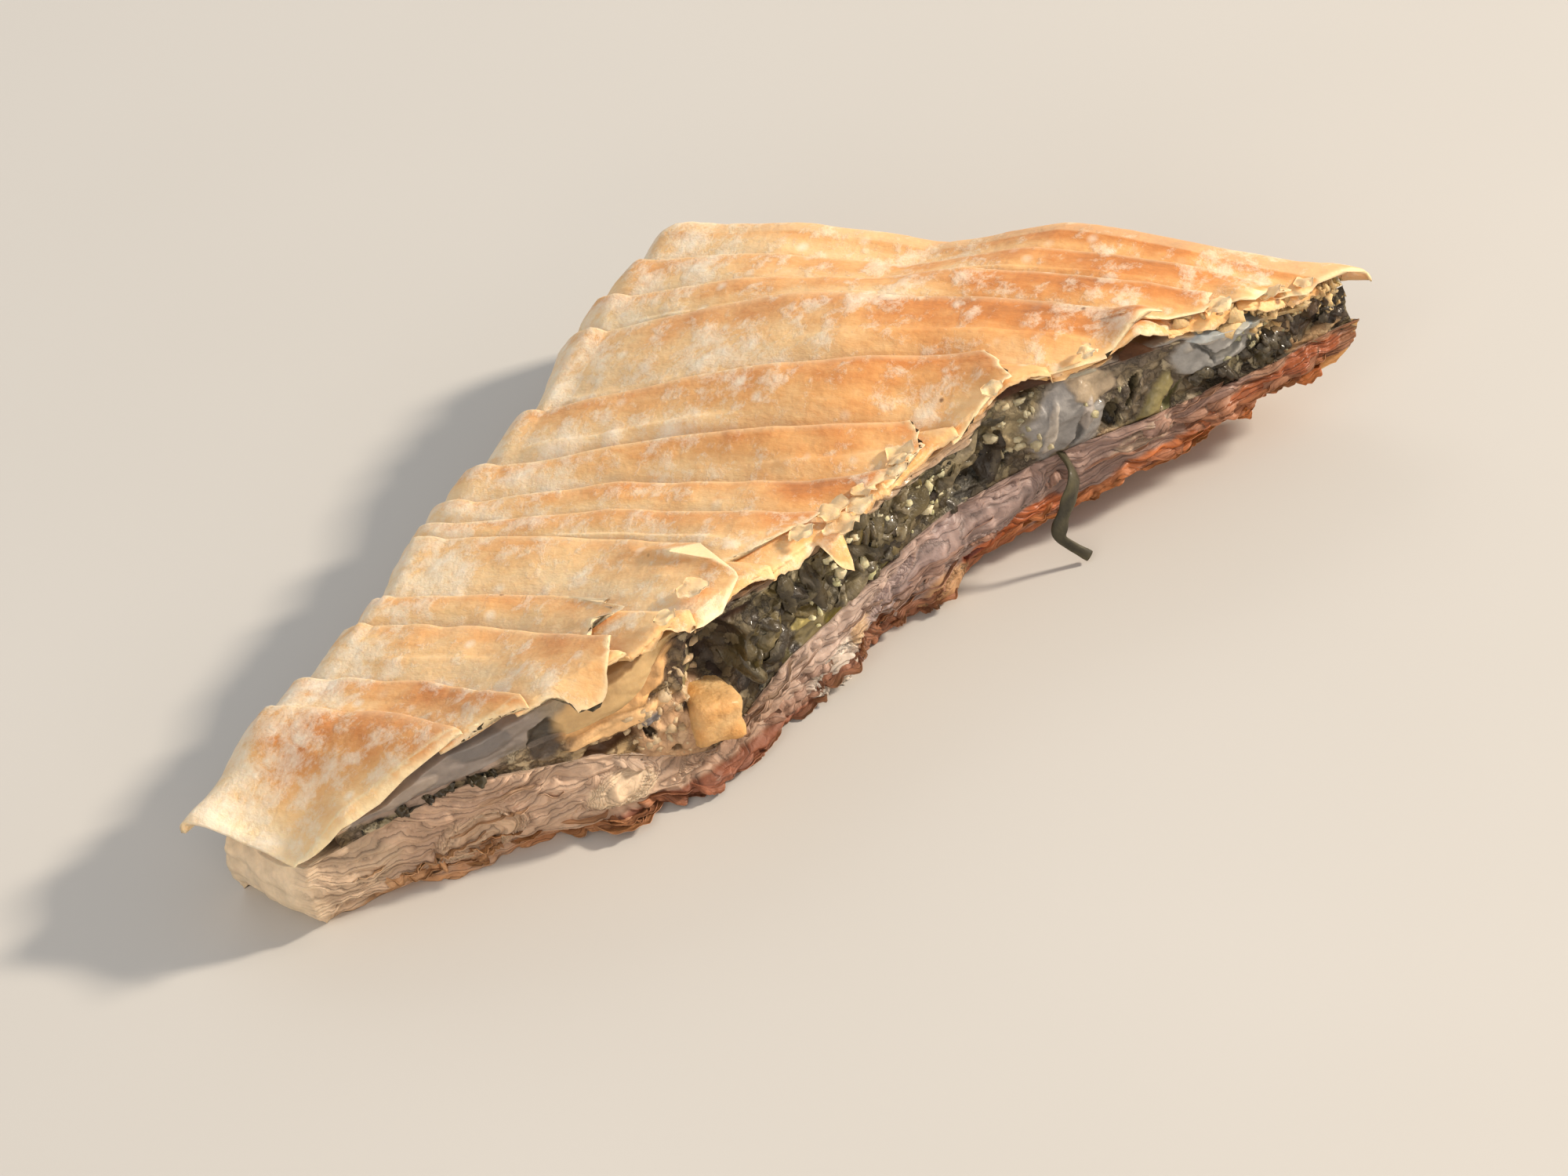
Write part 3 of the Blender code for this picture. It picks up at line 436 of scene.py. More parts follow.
def lumps(centres, sizes, seed, rings=7, sectors=10, bump=0.25, values=None):
    """Closed lumps: a sphere of rings and sectors, stretched to each size, bumped by noise."""
    polar = np.linspace(0.0, math.pi, rings)[1:-1]
    turn = np.linspace(0.0, 2.0 * math.pi, sectors, endpoint=False)
    wide = np.sin(polar)[:, None]
    ball = np.stack([wide * np.cos(turn), wide * np.sin(turn), np.cos(polar)[:, None] * np.ones(sectors)],
                    axis=-1).reshape(-1, 3)
    ball = np.concatenate([ball, [[0.0, 0.0, 1.0], [0.0, 0.0, -1.0]]])
    number = np.arange(len(centres))[:, None] * 3.7
    x, y, z = [ball[None, :, axis] * 1.4 for axis in range(3)]
    grow = 1.0 + bump * rough(x + number, y, z, seed)
    points = centres[:, None, :] + ball[None] * sizes[:, None, :] * grow[..., None]
    inner = rings - 2
    quads = []
    for step in range(inner - 1):
        first = np.arange(sectors) + step * sectors
        second = np.roll(np.arange(sectors), -1) + step * sectors
        quads.append(np.stack([first, first + sectors, second + sectors, second], axis=-1))
    quads = np.concatenate(quads)
    top, low = inner * sectors, inner * sectors + 1
    this, after = np.arange(sectors), np.roll(np.arange(sectors), -1)
    last = (inner - 1) * sectors
    tris = np.concatenate([np.stack([np.full(sectors, top), this, after], axis=-1),
                           np.stack([np.full(sectors, low), after + last, this + last], axis=-1)])
    offset = (np.arange(len(centres)) * len(ball))[:, None, None]
    faces = [(quads[None] + offset).reshape(-1, 4), (tris[None] + offset).reshape(-1, 3)]
    flat = {key: np.repeat(value, len(ball), axis=0) for key, value in (values or {}).items()}
    return points.reshape(-1, 3), faces, [], flat


def volume(points, faces, caps):
    """Signed volume: the sum over fans of triangles of their corners' triple products."""
    total = 0.0
    for group in list(faces) + [np.asarray(cap)[None, :] for cap in caps]:
        for step in range(1, group.shape[1] - 1):
            a, b, c = points[group[:, 0]], points[group[:, step]], points[group[:, step + 1]]
            total += float(np.sum(a * np.cross(b, c)))
    return total


def new_object(name, data):
    """Object with its data, linked into the scene."""
    made = bpy.data.objects.new(name, data)
    bpy.context.scene.collection.objects.link(made)
    return made


def make_piece(name, parts, material, replaced=()):
    """Join parts into one named mesh in the part's frame, give it its finish and body, and hide the parts
    it replaces.
    """
    points, groups, caps, values, start = [], [], [], {}, 0
    for body, faces, ends, flat in parts:
        inside_out = volume(body, faces, ends) < 0.0
        points.append(body)
        groups += [(face[:, ::-1] if inside_out else face) + start for face in faces]
        caps += [(end[::-1] if inside_out else end) + start for end in ends]
        for key, value in flat.items():
            values.setdefault(key, []).append(value)
        start += len(body)
    points = np.concatenate(points) + CUT_CORNER
    corners = np.concatenate([group.ravel() for group in groups] + [np.asarray(cap) for cap in caps])
    totals = [np.full(len(group), group.shape[1]) for group in groups] + [[len(cap)] for cap in caps]
    totals = np.concatenate(totals)
    starts = np.concatenate([[0], np.cumsum(totals)[:-1]])
    data = bpy.data.meshes.new(name)
    data.vertices.add(len(points))
    data.vertices.foreach_set("co", points.astype(np.float32).ravel())
    data.loops.add(len(corners))
    data.loops.foreach_set("vertex_index", corners.astype(np.int32))
    data.polygons.add(len(totals))
    data.polygons.foreach_set("loop_start", starts.astype(np.int32))
    data.polygons.foreach_set("use_smooth", np.full(len(totals), True))
    for key, value in values.items():
        value = np.concatenate(value)
        kind, field = "FLOAT", "value"
        if value.shape[1] == 3:
            kind, field = "FLOAT_COLOR", "color"
            value = np.column_stack([value, np.ones(len(value))])
        layer = data.attributes.new(key, kind, "POINT")
        layer.data.foreach_set(field, value.astype(np.float32).ravel())
    data.update(calc_edges=True)
    data.validate()
    data.materials.append(material)
    piece = new_object(name, data)
    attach(piece, "root")
    if replaced:
        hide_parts(*replaced)


# Materials

CRUST_TONES = ((0.0, "#EADBC4"), (0.20, "#F0D3A6"), (0.42, "#EFC48C"), (0.60, "#E4AA6B"), (0.8, "#CF8748"),
               (1.0, "#9C6034"))
BLOOM_TONE = "#F5E7D0"
# Pale tone of thin torn edges, also used as a painted highlight along the crests' edges.
THIN_EDGE_AND_HIGHLIGHT_TONE = "#EFDDB4"
SPECK_TONE = "#6B4A2E"
CHOPPED_TONES = ((0.0, "#211C15"), (0.18, "#343022"), (0.36, "#4B4330"), (0.52, "#635A3E"),
                 (0.68, "#7E7356"), (0.82, "#9E9270"), (0.92, "#CBBE9C"))


def output(source):
    """An output socket itself, or the first one of a node."""
    return source.outputs[0] if hasattr(source, "outputs") else source


def add(tree, kind, links=(), **settings):
    """Add one shader node.  Links are (socket, source), and a node as a source stands for its first output.
    Settings are the node's properties or, with a leading in_, the values of its sockets."""
    node = tree.nodes.new("ShaderNode" + kind)
    for key, value in settings.items():
        if key.startswith("in_"):
            socket = key[3:]
            node.inputs[int(socket) if socket.isdigit() else socket.replace("_", " ")].default_value = value
        else:
            setattr(node, key, value)
    for socket, source in links:
        tree.links.new(output(source), node.inputs[socket])
    return node


def ramp_stops(node, stops):
    """Set a colour ramp's stops from (place, hex colour or grey level) pairs."""
    ramp = node.color_ramp
    while len(ramp.elements) > 1:
        ramp.elements.remove(ramp.elements[-1])
    for number, (place, colour) in enumerate(stops):
        element = ramp.elements[0] if number == 0 else ramp.elements.new(place)
        element.position = place
        value = srgb(colour) if isinstance(colour, str) else np.full(3, colour)
        element.color = (*value, 1.0)


def new_material(name):
    """Material with an empty Principled shader, and its tree."""
    material = bpy.data.materials.new(name)
    material.use_nodes = True
    return material, material.node_tree, material.node_tree.nodes["Principled BSDF"]


def wire(tree, shader, colour, roughness, normal, **constants):
    """Link the sources that every finish has, and set constants on the shader's own sockets."""
    for socket, source in (("Base Color", colour), ("Roughness", roughness), ("Normal", normal)):
        tree.links.new(output(source), shader.inputs[socket])
    for socket, value in constants.items():
        shader.inputs[socket.replace("_", " ")].default_value = value


def soften(shader, weight, radius):
    """Let light spread under the surface, which makes food look moist and not like stone."""
    shader.inputs["Subsurface Weight"].default_value = weight
    shader.inputs["Subsurface Radius"].default_value = radius
    shader.inputs["Subsurface Scale"].default_value = 1.0


def baked_filo():
    """Brushed and baked filo: matt, golden, browned on crests, with pale streaky bloom and specks; painted
    crease shade behind the crests and a painted highlight on their edges.
    """
    material, tree, shader = new_material("baked_filo")
    place = add(tree, "TexCoord").outputs["Object"]
    turned = add(tree, "Mapping", [("Vector", place)], vector_type="TEXTURE",
                 in_Rotation=(0.0, 0.0, PLEAT_TURN), in_Scale=(3.2, 1.0, 1.0))
    browning_and_crease_shade, bloom, thin = [add(tree, "Attribute", attribute_name=key) for key in ("browning_and_crease_shade", "bloom", "thin")]
    patches = add(tree, "TexNoise", [("Vector", place)], in_Scale=120.0, in_Detail=6.0, in_Roughness=0.65)
    streaks = add(tree, "TexNoise", [("Vector", turned)], in_Scale=420.0, in_Detail=5.0, in_Roughness=0.68)
    grain = add(tree, "TexNoise", [("Vector", place)], in_Scale=950.0, in_Detail=4.0)
    one = add(tree, "Math", [(0, patches), (2, browning_and_crease_shade.outputs["Fac"])], operation="MULTIPLY_ADD", in_1=0.50)
    two = add(tree, "Math", [(0, streaks), (2, one)], operation="MULTIPLY_ADD", in_1=0.45)
    level = add(tree, "Math", [(0, two)], operation="SUBTRACT", in_1=0.475)
    crust = add(tree, "ValToRGB", [("Fac", level)])
    ramp_stops(crust, CRUST_TONES)
    flecks = add(tree, "TexNoise", [("Vector", place)], in_Scale=250.0, in_Detail=7.0, in_Roughness=0.74,
                 in_Distortion=0.15)
    fleck = add(tree, "Math", [(0, flecks), (1, bloom.outputs["Fac"])], operation="ADD")
    veil = add(tree, "ValToRGB", [("Fac", fleck)])
    ramp_stops(veil, ((0.0, 0.0), (0.52, 0.0), (0.60, 0.36), (0.78, 0.85)))
    pale = add(tree, "Mix", [(0, veil), (6, crust)], data_type="RGBA", in_7=(*srgb(BLOOM_TONE), 1.0))
    grains = add(tree, "TexVoronoi", [("Vector", place)], in_Scale=230.0)
    sparse = add(tree, "SeparateColor", [(0, grains.outputs["Color"])])
    chosen = add(tree, "MapRange", [("Value", sparse)], in_1=0.55, in_2=0.75, in_3=0.0, in_4=0.6)
    dot = add(tree, "MapRange", [("Value", grains), (3, chosen)], in_1=0.08, in_2=0.26, in_4=0.0)
    dotted = add(tree, "Mix", [(0, dot), (6, pale.outputs[2])], data_type="RGBA",
                 in_7=(*srgb(BLOOM_TONE), 1.0))
    # Paler at thin torn edges, and a painted highlight along each crest's edge.
    edge = add(tree, "Mix", [(0, thin.outputs["Fac"]), (6, dotted.outputs[2])], data_type="RGBA",
               in_7=(*srgb(THIN_EDGE_AND_HIGHLIGHT_TONE), 1.0))
    cells = add(tree, "TexVoronoi", [("Vector", place)], in_Scale=105.0)
    speck = add(tree, "MapRange", [("Value", cells)], in_1=0.030, in_2=0.055, in_3=0.8, in_4=0.0)
    spotted = add(tree, "Mix", [(0, speck), (6, edge.outputs[2])], data_type="RGBA",
                  in_7=(*srgb(SPECK_TONE), 1.0))
    sheen = add(tree, "MapRange", [("Value", streaks)], in_3=0.44, in_4=0.66)
    coarse = add(tree, "Bump", [("Height", streaks)], in_Strength=0.28, in_Distance=0.0007)
    flaky = add(tree, "Bump", [("Height", veil), ("Normal", coarse)],
                in_Strength=0.40, in_Distance=0.0004)
    fine = add(tree, "Bump", [("Height", grain), ("Normal", flaky)], in_Strength=0.45, in_Distance=0.0003)
    wire(tree, shader, spotted.outputs[2], sheen, fine, IOR=1.45)
    soften(shader, weight=0.15, radius=(0.0020, 0.0011, 0.0006))
    return material


def food(name, grain_scale, mottle, bump):
    """Moist food: mottled tone, chopped bits with painted shade in the gaps between them where chop says
    so, gloss where it is wet.
    """
    material, tree, shader = new_material(name)
    place = add(tree, "TexCoord").outputs["Object"]
    tone, wet, chop = [add(tree, "Attribute", attribute_name=key) for key in ("tone", "wet", "chop")]
    cloud = add(tree, "TexNoise", [("Vector", place)], in_Scale=grain_scale * 0.35, in_Detail=5.0,
                in_Roughness=0.65)
    grain = add(tree, "TexNoise", [("Vector", place)], in_Scale=grain_scale, in_Detail=4.0)
    stretch = add(tree, "MixRGB", [("Color1", place), ("Color2", cloud.outputs["Color"])], blend_type="ADD",
                  in_Fac=0.0034)
    pieces = add(tree, "TexVoronoi", [("Vector", stretch)], in_Scale=640.0)
    gaps = add(tree, "TexVoronoi", [("Vector", stretch)], feature="DISTANCE_TO_EDGE", in_Scale=640.0)
    pick = add(tree, "SeparateColor", [(0, pieces.outputs["Color"])])
    leafy = add(tree, "ValToRGB", [("Fac", pick)])
    ramp_stops(leafy, CHOPPED_TONES)
    leafy.color_ramp.interpolation = "CONSTANT"
    share = add(tree, "Math", [(0, chop.outputs["Fac"])], operation="MULTIPLY", in_1=0.70)
    mixed_in = add(tree, "Mix", [(0, share), (6, tone), (7, leafy)], data_type="RGBA")
    light = add(tree, "MapRange", [("Value", cloud)], in_1=0.3, in_2=0.7,
                in_3=1.0 - mottle, in_4=1.0 + mottle)
    # Painted shade in the gaps between the chopped bits.
    borders = add(tree, "MapRange", [("Value", gaps)], in_1=0.0, in_2=0.16, in_3=0.35, in_4=1.0)
    gap_shade = add(tree, "Mix", [(0, chop.outputs["Fac"]), (3, borders)], data_type="FLOAT", in_2=1.0)
    shade = add(tree, "Math", [(0, light), (1, gap_shade)], operation="MULTIPLY")
    colour = add(tree, "VectorMath", [(0, mixed_in.outputs[2]), ("Scale", shade)], operation="SCALE")
    dry = add(tree, "MapRange", [("Value", wet.outputs["Fac"])], in_3=0.62, in_4=0.32)
    gloss = add(tree, "Math", [(0, grain), (2, dry)], operation="MULTIPLY_ADD", in_1=0.16)
    film = add(tree, "Math", [(0, wet.outputs["Fac"])], operation="MULTIPLY", in_1=0.3)
    tree.links.new(output(film), shader.inputs["Coat Weight"])
    rounded = add(tree, "Math", [(0, borders), (1, chop.outputs["Fac"])], operation="MULTIPLY")
    relief = add(tree, "Bump", [("Height", rounded)], in_Strength=0.7, in_Distance=0.0005)
    fine = add(tree, "Bump", [("Height", grain), ("Normal", relief)],
               in_Strength=bump, in_Distance=0.0004)
    wire(tree, shader, colour, gloss, fine, Coat_Roughness=0.12, IOR=1.4)
    return material, shader


def steamed_filo():
    """Filo steamed soft in the base: layers that show as fine light and dark lines where it is torn; the
    dark lines are painted shade in the grooves between the layers.
    """
    material, tree, shader = new_material("steamed_filo")
    place = add(tree, "TexCoord").outputs["Object"]
    tone, wet, layer, torn = [add(tree, "Attribute", attribute_name=key)
                              for key in ("tone", "wet", "layer", "torn")]
    cloud = add(tree, "TexNoise", [("Vector", place)], in_Scale=420.0, in_Detail=5.0, in_Roughness=0.65)
    grain = add(tree, "TexNoise", [("Vector", place)], in_Scale=1500.0, in_Detail=4.0)
    bent = add(tree, "Math", [(0, cloud), (2, layer.outputs["Fac"])], operation="MULTIPLY_ADD", in_1=0.7)
    step = add(tree, "Math", [(0, bent)], operation="FRACT")
    thinner = add(tree, "Math", [(0, bent)], operation="MULTIPLY", in_1=3.0)
    leaf = add(tree, "Math", [(0, thinner)], operation="FRACT")
    # Painted shade: dark at each layer's border, in the groove between layers.
    broad = add(tree, "ValToRGB", [("Fac", step)])
    ramp_stops(broad, ((0.0, 0.48), (0.08, 0.88), (0.45, 1.08), (0.80, 0.98), (1.0, 0.66)))
    narrow = add(tree, "ValToRGB", [("Fac", leaf)])
    ramp_stops(narrow, ((0.0, 0.84), (0.25, 1.03), (0.85, 0.98), (1.0, 0.88)))
    both = add(tree, "Math", [(0, broad), (1, narrow)], operation="MULTIPLY")
    lines = add(tree, "Mix", [(0, torn.outputs["Fac"]), (3, both)], data_type="FLOAT", in_2=0.92)
    light = add(tree, "MapRange", [("Value", cloud)], in_1=0.3, in_2=0.7, in_3=0.86, in_4=1.16)
    shade = add(tree, "Math", [(0, light), (1, lines)], operation="MULTIPLY")
    colour = add(tree, "VectorMath", [(0, tone), ("Scale", shade)], operation="SCALE")
    gloss = add(tree, "MapRange", [("Value", wet.outputs["Fac"])], in_3=0.66, in_4=0.28)
    relief = add(tree, "Bump", [("Height", lines)], in_Strength=0.55, in_Distance=0.0004)
    fine = add(tree, "Bump", [("Height", grain), ("Normal", relief)],
               in_Strength=0.35, in_Distance=0.0003)
    wire(tree, shader, colour, gloss, fine, IOR=1.42)
    return material, shader


# Lid


def saw(part):
    """Sawtooth from -1 in the valley to 0 on the crest."""
    return -np.clip(1.0 - part, 0.0, 1.0) ** 1.4


def pleat_depth(band, run):
    """Depth of the valley behind a crest: its step, uneven along it and flatter on the wall."""
    step = STEPS[np.asarray(band).astype(int)]
    depth = PLEAT_DEPTH * step * (0.95 + 0.30 * ripple(band * 2.7, run * 3.0, 1.0, 3))
    return depth * (1.0 - 0.35 * smooth(-run / 0.8)) * (1.0 - 0.25 * smooth((run - 0.6) / 0.4))


def minor_folds(pleat, run):
    """Height of the small folds: a gentle rise to each and a quick drop behind it."""
    total = np.zeros(np.broadcast(pleat, run).shape)
    for at, start, end, tall in MINOR_FOLDS:
        place = pleat - at - 0.10 * ripple(run * 5.0, at, 0.0, 43)
        rise = smooth((place + 0.34) / 0.34) * (1.0 - smooth(place / 0.07))
        total = total + tall * MM * rise * smooth((run - start) / 0.15) * smooth((end - run) / 0.15)
    return total


# Place across the pleats where the bubbles of the skin start.
BUBBLES_FROM = float(CORNER_A1 @ OUT_BC) + 0.012


def large_bubbles(x, y):
    """Height 0..1 of the larger bubbles of the skin, one possible bubble every five millimetres."""
    return blisters(x / 0.0052, y / 0.0052, 61, 0.30)


def skin_relief(x, y, z):
    """Swells, wrinkles and bubbles of the baked skin, as a height; no bubbles on the blunt end's flap."""
    across = x * OUT_BC[0] + y * OUT_BC[1]
    down = x * SIDE_BC[0] + y * SIDE_BC[1]
    swell = 0.00034 * rough(x / 0.013, y / 0.013, z / 0.02, 51)
    wrinkle = 0.00011 * rough(across / 0.0017, down / 0.011, z / 0.006, 55, 2)
    bubble = 0.00016 * large_bubbles(x, y)
    small = 0.00006 * blisters(x / 0.0021, y / 0.0021, 63, 0.35)
    return swell + wrinkle + (bubble + small) * smooth((across - BUBBLES_FROM) / 0.006)


def torn_end(band, part, plan_x):
    """Run at which a pleat's sheet ends: its table in millimetres and small teeth."""
    reach = np.interp(part, *zip(*TORN_ENDS_MM[band]))
    teeth = (0.55 * ripple(plan_x * 900.0, band * 3.1, 0.0, 71)
             + 0.35 * ripple(plan_x * 2600.0, band * 1.3, 0.0, 72))
    return reach + teeth


def run_length(band):
    """Length of a pleat from shoulder to cut, in metres."""
    places = lid_place(np.full(2, band + 0.5), np.array([0.0, 1.0]))
    return float(np.linalg.norm(places[1] - places[0]))


def reach_to_run(reach_mm, length):
    """Run for a reach past the cut: whole units past it, or parts of the pleat's length before it."""
    return 1.0 + np.where(reach_mm > 0.0, reach_mm * MM / PAST_UNIT, reach_mm * MM / length)


# Browned or pale patches of the lid: (distance along the cut, distance behind it, radius, strength).
BROWNED = (
    (0.006, 0.010, 0.009, 0.26), (0.022, 0.006, 0.007, 0.16), (0.098, 0.012, 0.012, 0.12),
    (0.118, 0.018, 0.012, 0.16), (0.158, 0.008, 0.014, 0.02), (0.132, 0.010, 0.010, 0.18),
    (0.086, 0.006, 0.008, 0.14), (0.150, 0.016, 0.010, 0.10), (-0.002, 0.005, 0.0062, -0.45),
    (0.060, 0.012, 0.014, -0.08), (0.040, 0.028, 0.018, -0.10), (0.115, 0.060, 0.012, -0.14),
    (0.138, 0.022, 0.020, 0.09),
)


def browning_and_crease_shade_of(points, part, run, band):
    """How browned the skin is: more on crests and on named patches, less on the shaded left slope; a dark
    band just behind each crest is painted shade of the crease there.
    """
    x, y = points[..., 0], points[..., 1]
    level = 0.40 + 0.26 * smooth((part - 0.35) / 0.65) - 0.10 * smooth(-run / 0.7)
    level = level - 0.06 * smooth((0.25 - run) / 0.25)
    level = level + 0.08 * rough(x / 0.016, y / 0.016, band * 0.7, 81)
    # Painted shade: a dark band in the crease just behind each crest.
    level = level + 0.30 * np.exp(-(np.clip(part, 0.0, 1.0) / 0.05) ** 2) * (band > 0)
    for cx, cy, radius, strength in BROWNED:
        level = level + strength * np.exp(-(np.hypot(x - cx, y - cy) / radius) ** 2)
    return level


def bloom_of(points, run):
    """How much pale bloom lies on the skin."""
    x, y = points[..., 0], points[..., 1]
    cloud = rough(x / 0.011, y / 0.011, 0.0, 91)
    return 0.10 * cloud + 0.10 * smooth((0.45 - run) / 0.6) + 0.10 * large_bubbles(x, y)


# Columns of a pleat's sheet on the wall, over the crown and at the torn end.
WALL_COLUMNS = 14
CROWN_COLUMNS = 96
END_COLUMNS = 46
# Run where the even columns end and those that follow the torn end begin.
END_FROM = 0.72


def edge_arch(x, span):
    """Height of the lid's torn edge over hollows of the cut: a bell each, gone a little way in."""
    total = 0.0 * x
    for at, half, tall in EDGE_ARCHES_MM:
        total = total + tall * MM * np.exp(-((x / MM - at) / half) ** 2)
    return total * smooth(1.0 - span / 0.009)


def end_wall_rise(pleat, run):
    """Height added where the flap stands free of the wall at the blunt end, less its droop there."""
    free = 0.0019 * (1.0 - smooth(pleat / 0.8)) * smooth(-run / 0.9)
    return free - 0.0012 * (1.0 - smooth(pleat / 0.35)) * smooth((run + 0.3) / 0.5)


def sheet_runs(end):
    """Runs of the columns for rows that end at different runs: wall, crown, then the torn end."""
    wall = np.linspace(-1.0, 0.0, WALL_COLUMNS, endpoint=False)
    crown = np.linspace(0.0, END_FROM, CROWN_COLUMNS, endpoint=False)
    share = np.linspace(0.0, 1.0, END_COLUMNS)
    fixed = np.broadcast_to(np.concatenate([wall, crown]), (len(end), WALL_COLUMNS + CROWN_COLUMNS))
    return np.concatenate([fixed, END_FROM + (end[:, None] - END_FROM) * share], axis=1)


def pleat_sheet(band):
    """One pleat: the top rises to its crest, folds under in a half circle and comes back below itself."""
    last = band == PLEATS - 1
    first = band == 0
    # Parts of the way across the pleat: over its top, round the crest, and back beneath it.
    top = np.concatenate([np.linspace(-0.12, 0.0, 5, endpoint=False), np.linspace(0.0, 1.0, 29)])
    folds = np.radians([40.0, 80.0, 120.0, 160.0])
    back = np.array([0.94, 0.75, 0.5, 0.25, 0.1, 0.0, -0.05, -0.1])
    if last:
        wall = 1.0 + np.linspace(0.0, 1.0, 17)[1:]
        top = np.concatenate([top, wall])
        folds = np.radians([90.0])
        back = np.array([1.8, 1.4, 1.0, 0.6, 0.2, 0.0, -0.05, -0.1])
    edge = top[-1]
    part = np.concatenate([top, np.full(len(folds), edge), back])
    turn = np.concatenate([np.zeros(len(top)), folds, np.full(len(back), math.pi)])
    length = run_length(band)
    inner = np.clip(part, 0.0, 1.0)
    rough_x = np.interp(band + inner, np.arange(PLEATS + 1), (0.0,) + CRESTS_CUT + (1.0,)) * CORNER_C[0]
    end = reach_to_run(torn_end(band, inner, rough_x), length)
    run = sheet_runs(end)
    pleat = band + np.broadcast_to(part[:, None], run.shape)
    shoulder = lid_place(pleat, run)
    span = (end[:, None] - run) * np.where(run > 1.0, PAST_UNIT, length)
    normal = sheet_normal(pleat, run)
    forward = unit(np.cross(normal, slope_along(pleat, run)))
    forward = forward * np.sign((forward[..., :2] @ OUT_BC)[..., None] + 1e-9)
    depth = pleat_depth(float(band), run)
    half = SHEET_HALF * (0.38 + 0.62 * smooth(span / 0.006))
    # Where the crest before it reaches, the sheet's lower border is tucked in under that crest.
    covered = torn_end(band - 1, np.ones(1), np.zeros(1)) - 0.5 if band else np.zeros(1)
    under_crest = smooth((reach_to_run(covered, length) - run) * length / 0.003)
    tucked = smooth(-part / 0.12)[:, None] * under_crest * (not first)
    height = (depth * saw(np.clip(part, 0.0, 1.0))[:, None] * (1.0 - tucked)
              - (0.00015 + 1.1 * half) * tucked)
    curl = END_CURLS_MM[band] * MM * smooth(1.0 - span / 0.007) ** 2 * smooth((part - 0.1) / 0.5)[:, None]
    crest = 0.00030 * ripple(run * 9.0, band * 5.1, 0.0, 41) * smooth((part - 0.7) / 0.3)[:, None]
    height = height + curl + crest + skin_relief(shoulder[..., 0], shoulder[..., 1], shoulder[..., 2])
    height = height + minor_folds(pleat, run) * np.where(turn < 1.0, 1.0, 0.0)[:, None]
    shoulder[..., 2] += end_wall_rise(pleat, run) + edge_arch(shoulder[..., 0], span)
    height = height - half * (1.0 - np.cos(turn))[:, None]
    reach = 0.0 if last else CREST_REACH
    ahead = reach * smooth((part - 0.75) / 0.25)[:, None] + half * np.sin(turn)[:, None]
    points = shoulder + normal * height[..., None] + forward * ahead[..., None]
    # Paler near the torn end where the sheet is thin; a painted highlight along the crest's edge.
    values = {"browning_and_crease_shade": browning_and_crease_shade_of(points, inner[:, None], run, band), "bloom": bloom_of(points, run),
              "thin": np.maximum(0.7 * smooth(1.0 - span / 0.0012),
                                 0.30 * smooth((part - 0.93) / 0.07)[:, None])}
    return loft(points, values)


def sheet_normal(pleat, run):
    """Normal of the smooth lid from two small steps, one across the pleats and one along them."""
    step = 0.004
    ahead = lid_place(pleat + step, run) - lid_place(pleat - step, run)
    return unit(np.cross(slope_along(pleat, run), ahead))


def slope_along(pleat, run):
    """Direction along a pleat towards the cut."""
    step = 0.002
    return lid_place(pleat, run + step) - lid_place(pleat, run - step)


# Leaf under the pleats: rows and columns, depth below the crests, run where it starts, thickness, and
# metres in one unit of its run.
UNDER_ROWS = 400
UNDER_COLUMNS = 40
UNDER_BELOW = 0.0011
UNDER_FROM = 0.62
UNDER_THICKNESS = 0.00040
UNDER_LENGTH = 0.08


def leaf_under_pleats():
    """Thin leaf that follows the pleats a little below them, out to its own torn reach past the cut; it
    shows where the ends of the pleats are torn off."""
    pleat_row = np.linspace(0.5, 12.97, UNDER_ROWS)
    reach = np.interp(pleat_row, *zip(*UNDER_LEAF_MM))
    reach = (reach + 0.5 * ripple(pleat_row * 3.0, 0.0, 0.0, 73)
             + 0.35 * ripple(pleat_row * 11.0, 1.0, 0.0, 74))
    reach = reach + 0.2 * ripple(pleat_row * 31.0, 2.0, 0.0, 75)
    end = reach_to_run(reach, UNDER_LENGTH)[:, None]
    run = UNDER_FROM + (end - UNDER_FROM) * np.linspace(0.0, 1.0, UNDER_COLUMNS)[None, :] ** 0.8
    pleat = np.broadcast_to(pleat_row[:, None], run.shape)
    band = np.floor(pleat)
    shoulder = lid_place(pleat, run)
    height = 0.85 * pleat_depth(band, run) * saw(pleat - band) - UNDER_BELOW
    height = height + 0.7 * skin_relief(shoulder[..., 0] + 0.03, shoulder[..., 1], shoulder[..., 2])
    span = (end - run) * np.where(run > 1.0, PAST_UNIT, UNDER_LENGTH)
    height = height - 0.0006 * smooth(1.0 - span / 0.004) ** 2
    shoulder[..., 2] += edge_arch(shoulder[..., 0], span)
    middle = shoulder + sheet_normal(pleat, run) * height[..., None]
    thick = UNDER_THICKNESS * (0.45 + 0.55 * smooth(span / 0.004))
    browning_and_crease_shade = 0.52 + 0.10 * rough(middle[..., 0] / 0.012, middle[..., 1] / 0.012, 3.0, 83)
    values = {"browning_and_crease_shade": browning_and_crease_shade[None], "bloom": bloom_of(middle, run)[None],
              "thin": (0.35 * smooth(1.0 - span / 0.001))[None]}
    return leaf_body(middle[None], thick[None], values)


